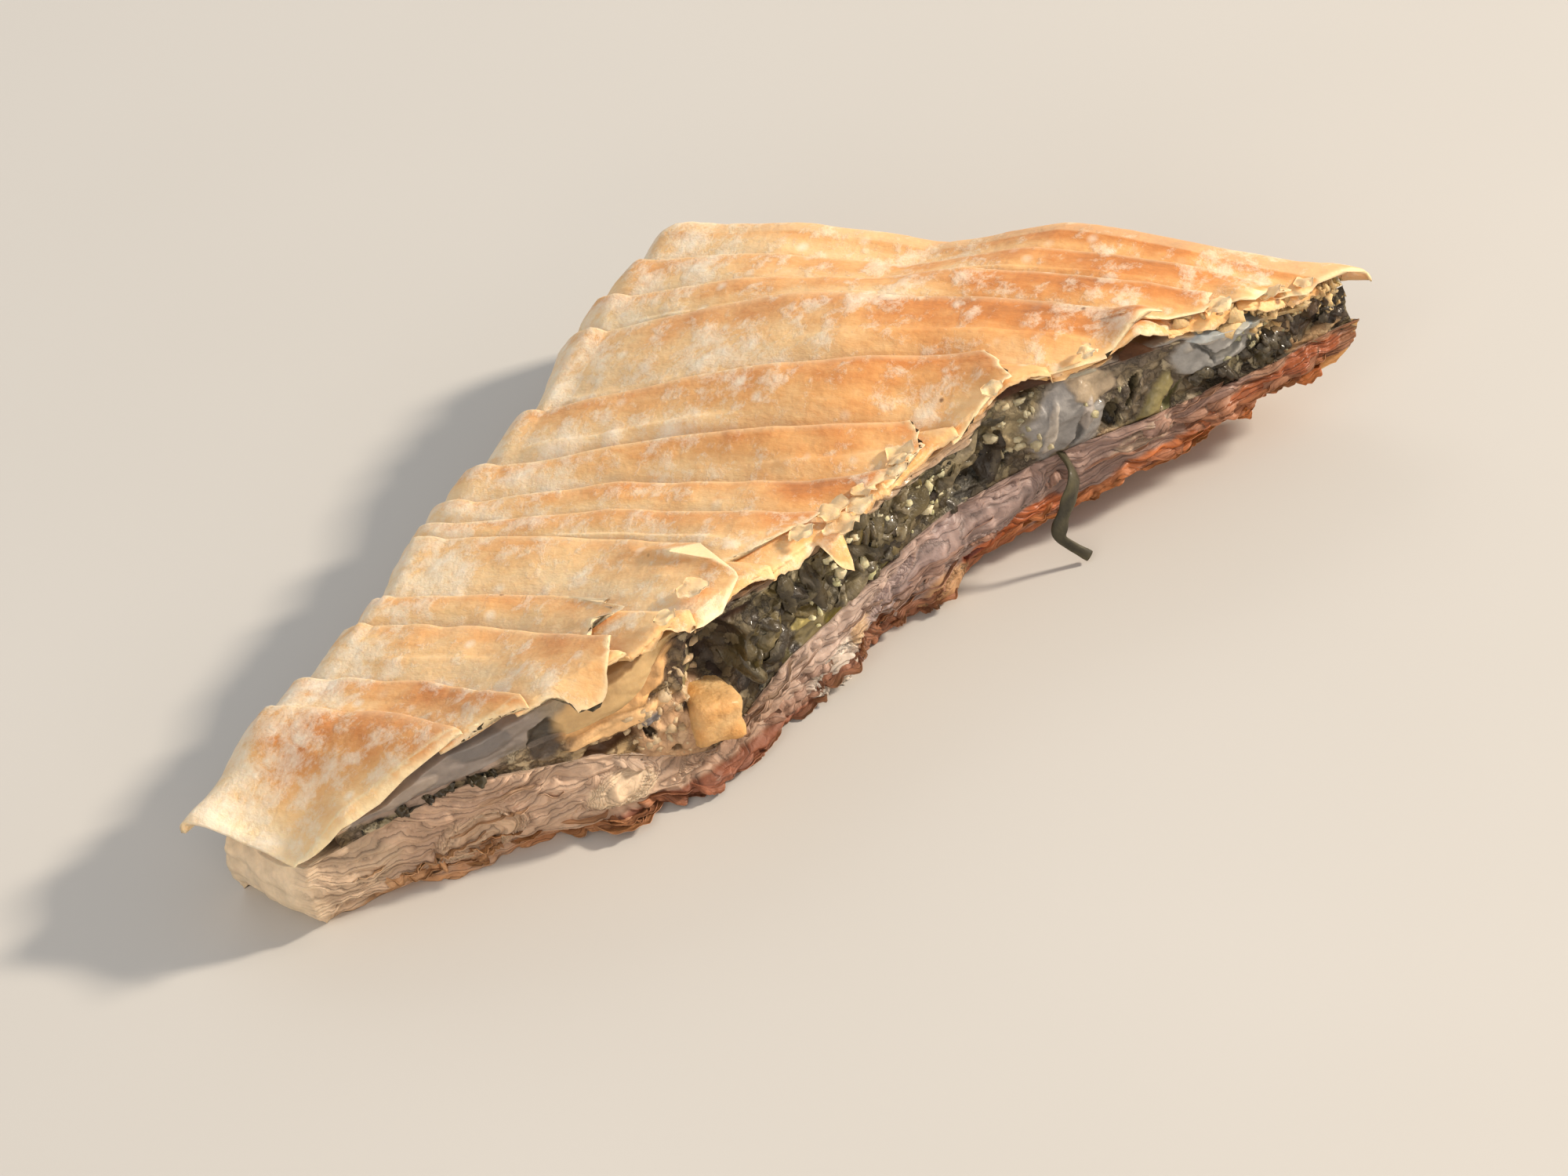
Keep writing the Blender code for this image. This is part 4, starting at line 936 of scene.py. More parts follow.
def torn_flakes():
    """Small curled leaves on the lid: uneven ovals that rise with a power of the way from the root."""
    pleat, run, length, turn, lifted = np.array(TORN_FLAKES).T[:, :, None, None]
    number_at = np.arange(len(TORN_FLAKES))[:, None, None] * 3.3
    share = np.linspace(0.0, 1.0, 12)[None, :, None]
    across = np.linspace(-0.5, 0.5, 11)[None, None, :]
    root = lid_place(pleat, run)
    width = (0.9 * np.sin(math.pi * (0.16 + 0.76 * share)) ** 0.6
             * (1.0 + 0.4 * ripple(share * 5.0, number_at, 0.0, 76)))
    away = PLEAT_TURN + np.radians(turn)
    length = 0.85 * length
    u = (share - 0.3) * length * MM
    v = across * width * length * MM * (1.0 + 0.25 * ripple(across * 6.0, number_at, share * 2.0, 77))
    height = 0.28 * np.tan(np.radians(lifted)) * length * MM * share ** 1.7
    height = height + 0.0005 * (1.0 - 4.0 * across ** 2) * share
    height = height + 0.0004 * ripple(share * 3.0, across * 3.0, number_at, 78)
    x = root[..., 0] + u * np.cos(away) - v * np.sin(away)
    y = root[..., 1] + u * np.sin(away) + v * np.cos(away)
    middle = np.stack([x, y, root[..., 2] + height], axis=-1)
    values = {"browning_and_crease_shade": 0.46 + 0.12 * ripple(share * 2.0, across, number_at, 79), "bloom": 0.0 * height,
              "thin": 0.15 + 0.35 * share + 0.0 * height}
    return leaf_body(middle, 0.00022 * (1.3 - share) + 0.0 * height, values)


# Cut face, filling and base

# Seeds of the ragged rims of the cut's features and of the base's layers.
CUT_SEED = 129
BASE_SEED = 141

# Colours along the cut, by place in millimetres, at the foot and at the head of each body.
# In the four rows that follow, the dark stations near 58 to 66 mm are painted shade in the hollow under the
# lid there.
DOUGH_LOW = (
    (0, "#B9A78E"), (8, "#998B7A"), (24, "#867B72"), (38, "#9A8B78"), (46, "#B99E76"), (56, "#AB8E68"),
    (64, "#6B5440"), (80, "#8A7562"), (96, "#A48B78"), (112, "#A8927C"), (122, "#A99B8C"),
    (138, "#A39C94"), (150, "#B5A282"), (169, "#B79C72"),
)
DOUGH_HIGH = (
    (0, "#C0AD90"), (8, "#887D70"), (20, "#726B68"), (32, "#6A6562"), (40, "#94866F"), (48, "#BC9C6C"),
    (56, "#A58356"), (66, "#6B4F38"), (84, "#B0906A"), (100, "#BC9A72"), (112, "#A98257"),
    (122, "#B0885A"), (138, "#C4A070"), (150, "#CFAE7C"), (169, "#D0AC74"),
)
FILL_LOW = (
    (0, "#958772"), (9, "#857A68"), (30, "#8A7E6A"), (44, "#B29468"), (60, "#7A6548"), (66, "#30281C"),
    (80, "#605842"), (92, "#665E4A"), (106, "#3A3428"), (118, "#7D7466"), (132, "#6B6248"),
    (150, "#504632"), (169, "#4A3C2A"),
)
FILL_HIGH = (
    (0, "#9A8B74"), (9, "#8A8072"), (30, "#8C8170"), (44, "#B39468"), (58, "#5A442E"), (75, "#4B4934"),
    (92, "#6A6750"), (106, "#2E3022"), (116, "#86815C"), (124, "#8B8784"), (140, "#8F867A"),
    (150, "#665A44"), (169, "#52432F"),
)
# The head tones are darker from about 80 to 125 mm: partly the layers' own mauve, partly a painted shadow
# cast by the other half of the pie.
BASE_HIGH = (
    (0, "#BEA68C"), (20, "#B3967F"), (45, "#BBA089"), (60, "#9C7F6A"), (80, "#AC978A"), (100, "#917B72"),
    (125, "#8C746A"), (150, "#906A52"), (169, "#7C543A"),
)
BASE_LOW = (
    (0, "#C8A27C"), (15, "#B88A62"), (35, "#A4724C"), (55, "#84503A"), (75, "#80543E"), (95, "#885A42"),
    (120, "#A06038"), (150, "#A35C34"), (169, "#8C4C2C"),
)

# Features of the cut face: (along, height, half length and half height in millimetres, lean in
# degrees, bulge in millimetres, wetness, how chopped, tone).
# The dark tones of the hollows, pits and creases among them (those with a negative bulge) are painted shade
# in them.
CUT_FEATURES = (
    (20, 19, 17, 4.6, 9, 0.7, 1, 0, "#867C74"), (14, 17.4, 6.5, 1.7, 6, 0.6, 1, 0, "#988B7F"),
    (27, 20.5, 5, 2.2, -12, 0.5, 1, 0, "#716B67"), (35.5, 17.5, 2.4, 3.6, -20, -0.8, 0.8, 0.1, "#4B443C"),
    (5, 15, 4, 1.8, 10, 0.4, 0.4, 0, "#B9AA94"), (11.5, 12.9, 1.9, 0.9, 0, 0.5, 0.7, 1, "#1E2118"),
    (16, 13.4, 2.6, 1, 10, 0.6, 0.7, 1, "#20241A"), (21.5, 13.8, 1.6, 0.8, -8, 0.5, 0.7, 1, "#1E2118"),
    (26, 14.5, 2.1, 1, 12, 0.5, 0.7, 1, "#23271C"), (45, 13.4, 7.5, 1, 6, -1.6, 0.2, 0, "#4A3521"),
    (46.5, 21.5, 10.5, 4.6, 24, 0.9, 0.3, 0, "#BE9F70"), (46, 16.2, 8.5, 1.3, 8, 1.2, 0.3, 0, "#CDB285"),
    # The hollow under the lid at 55 to 66 mm is painted nearly black as its shade.
    (50, 25.6, 6.5, 1.3, 22, -0.7, 0.2, 0, "#8A6A42"), (60.5, 17, 5.2, 5.4, 0, -5, 0.3, 0.3, "#2B2119"),
    (63, 21.8, 6, 1.3, -4, -1.6, 0.2, 0, "#3E2E20"),
    (53.5, 10.6, 7.2, 6.4, 4, 1.5, 0.45, 0.26, "#BDA282"),
    (50, 15.2, 1.8, 1.2, 20, 0.6, 0.8, 0.1, "#6C6E74"),
    (49.4, 12.2, 1.3, 1.1, 0, -1.6, 0.3, 0.2, "#33291E"),
    (55.6, 13.6, 1, 0.9, 0, -1.3, 0.3, 0.2, "#3A2C1E"), (52, 8.4, 0.9, 0.7, 0, -1, 0.3, 0.2, "#5A452E"),
    (57.4, 15.8, 1.6, 1, -30, 0.5, 0.4, 0.3, "#8F8A66"), (69, 11.6, 5.4, 6, 0, 0.6, 1, 0.35, "#2A2219"),
    (66.4, 13.6, 1.5, 4.4, 14, 0.9, 1, 0.2, "#443E26"), (69.8, 14.4, 1.2, 3, -22, 0.8, 1, 0.2, "#383220"),
    (71.6, 9.4, 1.3, 3.4, 18, 0.8, 1, 0.2, "#45462A"),
    (67.8, 8.2, 1.6, 1.2, 30, -0.9, 0.8, 0.3, "#14140F"),
    (70.6, 16.8, 2.2, 0.9, 14, 0.6, 0.9, 0.3, "#2B2D1F"),
    (78.4, 11.8, 4.8, 3.2, 12, 1.2, 0.9, 0, "#69664A"),
    (80.2, 11.2, 1.7, 1.7, 0, -0.4, 0.8, 0.1, "#5C5A22"), (76, 13.6, 2.2, 0.9, 20, 0.5, 1, 0, "#A8A468"),
    (87.5, 15.4, 9, 3, 16, 0.4, 0.7, 0.6, "#6A6650"), (84, 17.6, 3.4, 1.3, 12, 0.5, 0.7, 0.6, "#8E8C66"),
    (91, 13.4, 2.4, 1.2, 34, 0.7, 0.9, 0.3, "#5E5E2E"),
    (93.6, 17.4, 3.2, 1.4, 18, 0.6, 1, 0.2, "#7C7A70"),
    (99, 18.2, 3.4, 1.2, 14, 0.5, 0.9, 0.4, "#6A6A52"),
    (107.5, 17.4, 6, 2.5, 8, -1.8, 0.9, 0.9, "#191B13"),
    (104, 14.4, 3.6, 1.2, 20, 0.4, 1, 0.5, "#6D706C"), (114.6, 21.8, 3.8, 4.8, 0, 1, 0.5, 0.3, "#88836A"),
    (112.4, 19.4, 1.6, 1.4, 0, 0.8, 0.5, 0.4, "#9E9678"),
    (116.2, 24.6, 1.4, 0.8, 30, -0.9, 0.6, 0.3, "#4C452B"),
    (121, 18.8, 6, 6.6, -36, 1.8, 1, 0, "#787E82"), (126, 23.2, 4.4, 2.2, -24, 0.9, 0.8, 0, "#8A8474"),
    (118.4, 19.4, 0.9, 4.4, -24, 0.6, 1, 0, "#979A98"),
    (122.2, 17.4, 0.5, 3.8, -34, -0.9, 1, 0, "#565B5E"), (124.4, 19.8, 1, 3, -28, 0.6, 1, 0, "#8E9090"),
    # The hollows under the arches of the lid's edge, at 119 and 134.6 mm, are painted dark brown as their
    # shade.
    (119.4, 14.4, 1.7, 0.9, 20, 0.4, 0.8, 0, "#6E6C60"), (119, 26.8, 6.2, 1.7, 0, -5, 0.2, 0, "#4A3320"),
    (134.6, 25.2, 4.4, 1.5, 0, -4.5, 0.2, 0, "#573C24"),
    (127.6, 16.4, 1.4, 2.4, -20, -1.8, 0.8, 0.5, "#24211C"),
    (126.4, 12.6, 3.2, 1.8, 10, 0.6, 0.5, 0.4, "#A48E70"),
    (131.4, 18.6, 2.9, 0.7, 54, -1.9, 0.6, 0.3, "#1E1E15"),
    (134.2, 15.6, 5.2, 1.6, 50, 1.5, 0.9, 0, "#706E4A"),
    (136.2, 14, 4.6, 0.6, 50, -0.8, 0.5, 0, "#5A5E40"),
    (137.8, 12, 3.4, 1.3, 30, 0.8, 0.6, 0.1, "#9C9888"),
    (145.4, 20.6, 7.8, 3.9, 6, 1.5, 0.9, 0, "#868E92"), (144.4, 22.4, 4.4, 1.4, 10, 0.7, 1, 0, "#9CA2A2"),
    (142.4, 20.2, 0.5, 2.9, 28, -0.8, 1, 0, "#5E6568"), (148.2, 21.4, 2.8, 0.6, 14, 0.5, 1, 0, "#A8ABA6"),
    (145.8, 19, 3.6, 0.5, 10, -0.6, 1, 0, "#686E6E"),
    (150.6, 19.8, 1.2, 2.2, -24, 0.5, 0.9, 0, "#7C7C74"),
    (147.4, 15.4, 5.8, 1.9, 6, 0.2, 0.8, 0.8, "#201E17"),
    (150.4, 17.8, 1.8, 1.4, 0, 0.3, 0.8, 0.7, "#201E17"),
    (158, 20.4, 6.4, 2.6, -8, 1.3, 0, 0.35, "#C4A476"), (154, 17, 3, 1.5, 8, 0.9, 0.5, 0.3, "#A59474"),
    (163.2, 17.4, 4.4, 2.2, -4, 0.7, 0.2, 0.5, "#2A2119"),
    (159, 14.2, 5, 0.9, 4, 0.9, 0.2, 0.3, "#9C8462"),
)
# Features of the base crust at the cut, in the same order, then its swirls: (along, height, half
# length and half height in millimetres, layers from middle to rim, whether they wind in a spiral).
BASE_FEATURES = (
    (56, 1.2, 17, 1.5, 0, 1.6, 0.1, 0, "#7A4A34"), (43, 6.3, 4.8, 2.6, 0, 0.9, 0.2, 0, "#CDB598"),
    (23.5, 5.8, 6, 3.6, 8, 0.5, 0.2, 0, "#BFA388"), (7, 7.4, 6, 4.4, 0, 0.6, 0.1, 0, "#B8A087"),
    # The hollow at 86 mm is painted darker as its shade.
    (79, 3, 5.6, 3.4, 20, 0.7, 0.5, 0, "#C2B4A6"), (86, 3.4, 4, 2.6, 24, -1.1, 0.2, 0, "#7E5238"),
    (84.6, 6.2, 3, 1.5, 10, 0.9, 0.3, 0, "#B89A78"), (98.6, 2.4, 4.4, 2.4, 0, 1.6, 0.3, 0, "#A47E5A"),
    (95, 8.6, 11, 3, 14, 1, 0.5, 0, "#907D78"), (107, 9.8, 10, 3, 6, 1.3, 0.5, 0, "#958079"),
    # The hollow at 104 mm is painted dark as its shade.
    (110, 5.6, 9, 1.6, 10, 0.4, 0.6, 0, "#A65A30"), (104, 4.4, 2, 1, 0, -1.2, 0.3, 0, "#6A2A18"),
    (131, 11.2, 6, 1.6, 8, 0.6, 0.4, 0, "#947E6C"), (133, 7.2, 9, 1.9, 8, 0.9, 0.8, 0, "#A86236"),
    (148, 10.4, 12, 1.4, 6, 0.8, 0.8, 0, "#945634"), (142, 12.6, 7, 1.1, 5, 0.4, 0.5, 0, "#86695C"),
    (158, 11.6, 8, 1.5, 4, 0.7, 0.7, 0, "#925232"),
)
BASE_SWIRLS = (
    (23.5, 5.8, 6.4, 3.6, 2.2, 1), (43, 6.2, 5, 2.6, 1.1, 0), (79, 3, 5.4, 3.2, 1.8, 1),
    (98.6, 2.4, 4.4, 2.3, 1, 0), (95, 8.8, 11, 3, 1.2, 0), (107, 9.8, 10, 2.8, 1.1, 0),
    (56, 5.6, 5, 2.2, 1.3, 0),
)


def by_mm(table, x):
    """Colour along the cut at x in metres."""
    return tones(table, x / MM)


def oval(x, height, seed, place, half, lean=0.0, ragged=1.0):
    """Distance from the middle of an oval, 1 at its rim, and the angle about it, both bent by noise."""
    dx = x / MM + ragged * rough(x / 0.0042, height / 0.0030, 0.0, seed) - place[0]
    dz = height / MM + 0.7 * ragged * rough(x / 0.0042, height / 0.0030, 9.0, seed) - place[1]
    c, s = math.cos(math.radians(lean)), math.sin(math.radians(lean))
    u, v = (dx * c + dz * s) / half[0], (dz * c - dx * s) / half[1]
    return np.hypot(u, v), np.arctan2(v, u)


def featured(table, x, height, seed, face):
    """Lay ragged ovals, each with its dome and finish, over a face of out, tone, wet and chop, and say
    what they cover."""
    out, tone, wet, chop = face
    cover = 0.0 * x
    for px, pz, rx, rz, lean, bulge, wetness, grain, colour in table:
        distance = oval(x, height, seed, (px, pz), (rx, rz), lean)[0]
        mask = 1.0 - smooth((distance - 0.86) / 0.20)
        out = out + bulge * MM * np.clip(1.0 - distance ** 2, 0.0, 1.0) ** 0.6
        tone = tone * (1.0 - mask[..., None]) + srgb(colour) * mask[..., None]
        wet, chop = wet * (1.0 - mask) + wetness * mask, chop * (1.0 - mask) + grain * mask
        cover = np.maximum(cover, mask)
    return out, tone, wet, chop, cover


# Where the filling ends at the tip, and the least depth of a body behind its face.
CUT_END = 0.1650
LEAST_DEPTH = 0.0022


def cut_body(start, stop, low_at, high_at, steps, levels, face_of, depth, drop):
    """Closed body along the cut: a detailed face between two heights, closed a way behind it."""
    level, x = np.meshgrid(np.linspace(0.0, 1.0, levels), np.linspace(start, stop, steps), indexing="ij")
    low, high = low_at(x), high_at(x)
    height = low + np.maximum(high - low, 0.0004) * level
    out, tone, wet, chop = face_of(x, height, level)
    # Less deep near both ends of the cut, where the half is narrow.
    behind = np.minimum(depth, np.minimum(0.006 + 0.4 * x[:1], LEAST_DEPTH + 0.7 * (CUT_END - x[:1])))
    behind = np.maximum(behind, LEAST_DEPTH)
    rings = [face_point(x, height, out)]
    for share, back in ((1.0 - drop, 0.7), (0.5, 1.0), (0.04, 0.9)):
        rings.append(face_point(x[:1], low[:1] + (high - low)[:1] * share, -behind * back))
    values = {"tone": tone, "wet": wet[..., None], "chop": chop[..., None]}
    values = {key: np.concatenate([value, np.repeat(value[-1:], 3, axis=0)], axis=0)
              for key, value in values.items()}
    return loft(np.concatenate(rings, axis=0), values)


def under_lid(x):
    """Height of the underside of the torn leaves at the cut."""
    return stations(LID_STATIONS, x) - 0.0032


def filling_top(x):
    """Height of the top of the filling at the cut."""
    return stations(FILLING_STATIONS, x)


def over_filling(x):
    """Height where the moist leaves start: a little inside the filling, so no gap shows."""
    return stations(FILLING_STATIONS, x) - OVERLAP


def over_base(x):
    """Height where the filling starts: a little inside the base, so no gap shows."""
    return stations(BASE_STATIONS, x) - OVERLAP


def mixed(low, high, level, x, height, seed, spread=0.35):
    """Colour between two rows of stations, with ragged borders."""
    part = np.clip(level + spread * rough(x / 0.006, height / 0.004, 0.0, seed), 0.0, 1.0)[..., None]
    return by_mm(low, x) * (1.0 - part) + by_mm(high, x) * part


def dough_face(x, height, level):
    """Moist inner leaves: soft folds at the blunt end, fine laminations elsewhere, painted lighter on their
    ridges and darker in their grooves as light and shade.
    """
    phase = height / 0.00085 + 2.2 * rough(x / 0.011, height / 0.006, 1.0, 103, 2)
    ridge = 1.0 - np.abs(2.0 * (phase - np.floor(phase)) - 1.0)
    laminated = smooth((x - 0.040) / 0.010)
    out = -0.0010 + 0.0006 * rough(x / 0.009, height / 0.004, 0.0, 101)
    tone = mixed(DOUGH_LOW, DOUGH_HIGH, level, x, height, 121)
    mottle = 0.14 * rough(x / 0.003, height / 0.002, 0.0, 127)
    # Painted light and shade: lighter on the laminations' ridges, darker in their grooves.
    tone = tone * (1.0 + mottle + 0.08 * (ridge - 0.5) * laminated)[..., None]
    face = (out, tone, np.full(x.shape, 0.35), np.full(x.shape, 0.12))
    out, tone, wet, chop, cover = featured(CUT_FEATURES, x, height, CUT_SEED, face)
    bare = laminated * (1.0 - cover)
    out = out + bare * (0.00030 * ridge + 0.0003 * ripple(x / 0.002, np.floor(phase), 0.0, 105))
    out = out + (0.00015 + 0.0003 * wet) * rough(x / 0.0040, height / 0.0024, 0.0, 107)
    return out - 0.0014 * smooth((level - 0.84) / 0.16), tone, wet, chop


# Warm cast of the cooked filling over the colours of its tables.
FILLING_CAST = np.array([1.13, 0.97, 0.86])


def filling_face(x, height, level):
    """Chopped filling: lumps of several sizes with hollows between them."""
    out = 0.0011 * rough(x / 0.0062, height / 0.0042, 0.0, 111) - 0.0012
    tone = mixed(FILL_LOW, FILL_HIGH, level, x, height, 131)
    face = (out, tone, np.full(x.shape, 0.6), np.full(x.shape, 0.6))
    out, tone, wet, chop = featured(CUT_FEATURES, x, height, CUT_SEED, face)[:4]
    out = out + (0.00004 + 0.0006 * chop) * rough(x / 0.0014, height / 0.0011, 0.0, 113)
    out = out + (0.00012 + 0.0004 * chop) * rough(x / 0.0030, height / 0.0019, 0.0, 107)
    out = (out + 0.0009 * np.exp(-((x - 0.0530) / 0.0065) ** 2)
           * rough(x / 0.0026, height / 0.0022, 0.0, 115))
    edge = smooth(np.minimum(level, 1.0 - level) / 0.10)
    tone = tone * FILLING_CAST * (1.0 - 0.50 * chop)[..., None]
    return out * edge - 0.0006 * (1.0 - edge), tone, wet, chop


def laminations(x, height, seed):
    """Layers of the base crust as a phase, one a layer: level, bent by noise and wound about swirls."""
    bend = 2.4 * rough(x / 0.013, height / 0.007, 0.0, seed, 2)
    bend = bend + 0.9 * rough(x / 0.0042, height / 0.0026, 0.0, seed + 5, 2)
    phase = height / 0.0014 + bend
    for px, pz, rx, rz, layers, spiral in BASE_SWIRLS:
        distance, angle = oval(x, height, seed + 9, (px, pz), (rx, rz), 10.0, 1.3)
        mask = 1.0 - smooth((distance - 0.60) / 0.45)
        phase = phase * (1.0 - mask) + (10.0 + distance * layers + spiral * angle / (2.0 * math.pi)) * mask
    ridge = 1.0 - (2.0 * np.abs(phase - np.floor(phase) - 0.45)) ** 2
    return phase, ridge


# Outline of the foot: (points, pleat from, pleat to, run from, run to).
OUTLINE = (
    (700, 0, 14, 1, 1), (110, 14, 14, 1, 0), (30, 14, 14, 0, -1), (30, 14, 13, -1, -1),
    (110, 13, 0, -1, -1), (44, 0, 0, -1, 1),
)
FOOT_INSET = 0.0026
# Tones of the baked side, browned and at the blunt end, and of the hidden underside and top.
BAKED_SIDE = ("#D8A566", "#F0E0C4")
HIDDEN_TONES = ("#B9783F", "#A79682")


def base_outline():
    """Pleat number and run of each point round the foot: the cut, BC, corner B, AB and the blunt end."""
    pleat, run = [], []
    for count, pleat_from, pleat_to, run_from, run_to in OUTLINE:
        pleat.append(np.linspace(pleat_from, pleat_to, count, endpoint=False))
        run.append(np.linspace(run_from, run_to, count, endpoint=False))
    return np.concatenate(pleat), np.concatenate(run)


def eased_round(values, reach):
    """Moving average of a closed row of values."""
    rows = np.concatenate([values[-reach:], values, values[:reach]])
    kernel = np.ones(2 * reach + 1) / (2 * reach + 1)
    columns = [np.convolve(rows[:, axis], kernel, mode="valid") for axis in range(rows.shape[1])]
    return np.stack(columns, axis=1)


def cut_of_base(x, level, height):
    """Torn face of the base crust: how far its layers stand out, the tone, wetness and layer phase."""
    seed = BASE_SEED
    phase, ridge = laminations(x, height, seed)
    layer = np.floor(phase)
    stray = (ripple(x / 0.0045, layer * 1.7, 0.0, seed + 7)
             + 0.5 * ripple(x / 0.0012, layer * 2.3, 0.0, seed + 8))
    foot = 1.0 - smooth(level / (0.26 + 0.16 * ripple(x / 0.006, 3.0, 0.0, 152)))
    out = 0.0009 * rough(x / 0.010, level * 2.0, 0.0, 151) + 0.00045 * ridge + 0.0006 * stray - 0.0004
    out = out - FOOT_INSET * foot * (0.75 + 0.5 * ripple(x / 0.007, 0.0, 0.0, 153))
    brown_to = 0.10 + 0.20 * smooth((x - 0.030) / 0.040) + 0.20 * rough(x / 0.006, height / 0.004, 0.0, 161)
    brown = smooth((brown_to - level) / 0.16)[..., None]
    tone = by_mm(BASE_HIGH, x) * (1.0 - brown) + by_mm(BASE_LOW, x) * brown
    face = (out, tone, np.full(x.shape, 0.15), 0.0 * x)
    out, tone, wet = featured(BASE_FEATURES, x, height, 165, face)[:3]
    # Painted light and shade: layers that stand further out are lighter, those set back darker.
    return out, tone * (1.0 + 0.12 * stray)[..., None], wet, phase


def base_body():
    """Base crust: rings round its outline, from the underside's middle, up the walls, to the top's."""
    pleat, run = base_outline()
    count, shown = len(pleat), OUTLINE[0][0]
    plan = lid_place(pleat, run)[:, :2]
    tangent = unit(np.roll(plan, -1, axis=0) - np.roll(plan, 1, axis=0))
    outward = eased_round(np.stack([tangent[:, 1], -tangent[:, 0]], axis=1), 5)
    on_cut = eased_round((np.arange(count) < shown)[:, None] * 1.0, 5)
    top = base_top(plan[:, 0], np.minimum(pleat, 13.0), np.clip(run, 0.0, 1.0))[:, None]
    under = lift(plan[:, 0], plan[:, 1])[:, None] + FLOOR_GAP
    corner = np.exp(-(np.linalg.norm(plan - CORNER_A1, axis=1) / 0.0075) ** 2)[:, None]
    levels = np.concatenate([[0.0], np.linspace(0.0, 1.0, 76)])[None, :]
    level = levels + 0.0 * top
    height = under + (top - under) * level
    travel = np.cumsum(np.linalg.norm(np.roll(plan, -1, axis=0) - plan, axis=1))[:, None] + 0.0 * level
    place = np.broadcast_to(plan[:, :1], level.shape)
    torn, face, wet, phase = cut_of_base(place, level, height)
    # Baked walls: folds run round them, the foot is drawn in, and the blunt end bulges.
    fold_phase = height / 0.0032 + 0.8 * ripple(travel / 0.030, 0.0, 0.0, 155)
    fold_phase = fold_phase + 0.35 * ripple(travel / 0.009, height / 0.006, 0.0, 156)
    fold = np.abs(np.sin(math.pi * fold_phase)) ** 0.7
    blunt = smooth((0.030 - plan[:, :1]) / 0.020) * (1.0 - smooth((pleat - 0.3) / 1.4))[:, None]
    baked = (0.0009 * (fold - 1.0) * (1.0 - 0.7 * blunt)
             + 0.00025 * rough(travel / 0.004, height / 0.0016, 0.0, 157))
    baked = baked - 0.0026 * (1.0 - smooth(level / 0.35)) * (1.0 - 0.75 * blunt) - 0.0004
    baked = baked + 0.0016 * blunt * np.sin(math.pi * np.clip(level, 0.0, 1.0)) ** 0.8
    push = torn * on_cut + baked * (1.0 - on_cut)
    push = push * smooth((1.02 - level) / 0.05) - 0.0003
    push[:, 0] -= 0.0016 * (1.0 - corner[:, 0])
    # The wall stands back under the torn tip, and the corner of the blunt end is rounded.
    tip = smooth((plan[:, :1] - 0.150) / 0.018) * smooth((run[:, None] - 0.6) / 0.4)
    setback = tip * (0.0028 + 0.0034 * (1.0 - level))
    rounded = 0.0042 * corner * (0.8 + 0.2 * level)
    wall_x = place - setback + outward[:, :1] * push + rounded
    wall_y = plan[:, 1:2] + outward[:, 1:2] * push - 0.6 * rounded
    wall = np.stack([wall_x, wall_y, height], axis=-1)
    # Rings that shrink to the middle close the underside and the top.
    centre = np.array([0.080, 0.030])
    rings_low, rings_high = [], []
    for share in (0.03, 0.25, 0.5, 0.75, 0.93):
        flat = centre + (wall[:, 0, :2] - centre) * share
        rings_low.append(np.column_stack([flat, lift(flat[:, 0], flat[:, 1]) + FLOOR_GAP]))
        flat = centre + (wall[:, -1, :2] - centre) * share
        lid_side = wall[:, -1, 2] * share + BASE_INSIDE * (1.0 - share) - 0.0006
        rings_high.append(np.column_stack([flat, lid_side]))
    points = np.concatenate([np.stack(rings_low, axis=1), wall, np.stack(rings_high[::-1], axis=1)], axis=1)
    # The baked side is pale at the blunt end and darker in the grooves between its folds, which is painted
    # shade; the cut keeps its own tones.
    cream = (0.75 * blunt)[..., None]
    side = between(BAKED_SIDE, cream) * (0.78 + 0.24 * (fold + (0.85 - fold) * 0.7 * blunt))[..., None]
    side = side * (1.0 + 0.12 * rough(travel / 0.01, height / 0.004, 0.0, 163))[..., None]
    mix = on_cut[..., None]
    tone = face * mix + side * (1.0 - mix)
    values = {"tone": tone, "wet": (wet * on_cut)[..., None], "layer": phase[..., None],
              "torn": (on_cut + 0.0 * level)[..., None]}
    for key, value in values.items():
        low, high = [np.broadcast_to(srgb(tone) if key == "tone" else 0.0 * value[:, :1],
                                     (count, 5, value.shape[-1])) for tone in HIDDEN_TONES]
        values[key] = np.concatenate([low, value, high], axis=1)
    return loft(points, values)


def throws(dice, number, *spans):
    """Random numbers for each (low, high) span, shaped to spread over a leaf's rows and columns."""
    return [dice.uniform(low, high, number)[:, None, None] for low, high in spans]


# Leaves of the base crust: (number, seed, places along the cut, levels from its foot to its head,
# reaches, greatest width, tones at its head).
FLAKES = (
    (46, 231, (0.004, 0.164), (0.25, 0.95), (0.0003, 0.0013), 0.016, BASE_HIGH),
    (14, 232, (0.006, 0.036), (0.04, 0.30), (0.0003, 0.0016), 0.009, BASE_LOW),
    (44, 233, (0.036, 0.160), (0.03, 0.36), (0.0002, 0.0018), 0.013, BASE_LOW),
    (5, 235, (0.042, 0.064), (0.03, 0.14), (0.0016, 0.0034), 0.017, BASE_LOW),
)


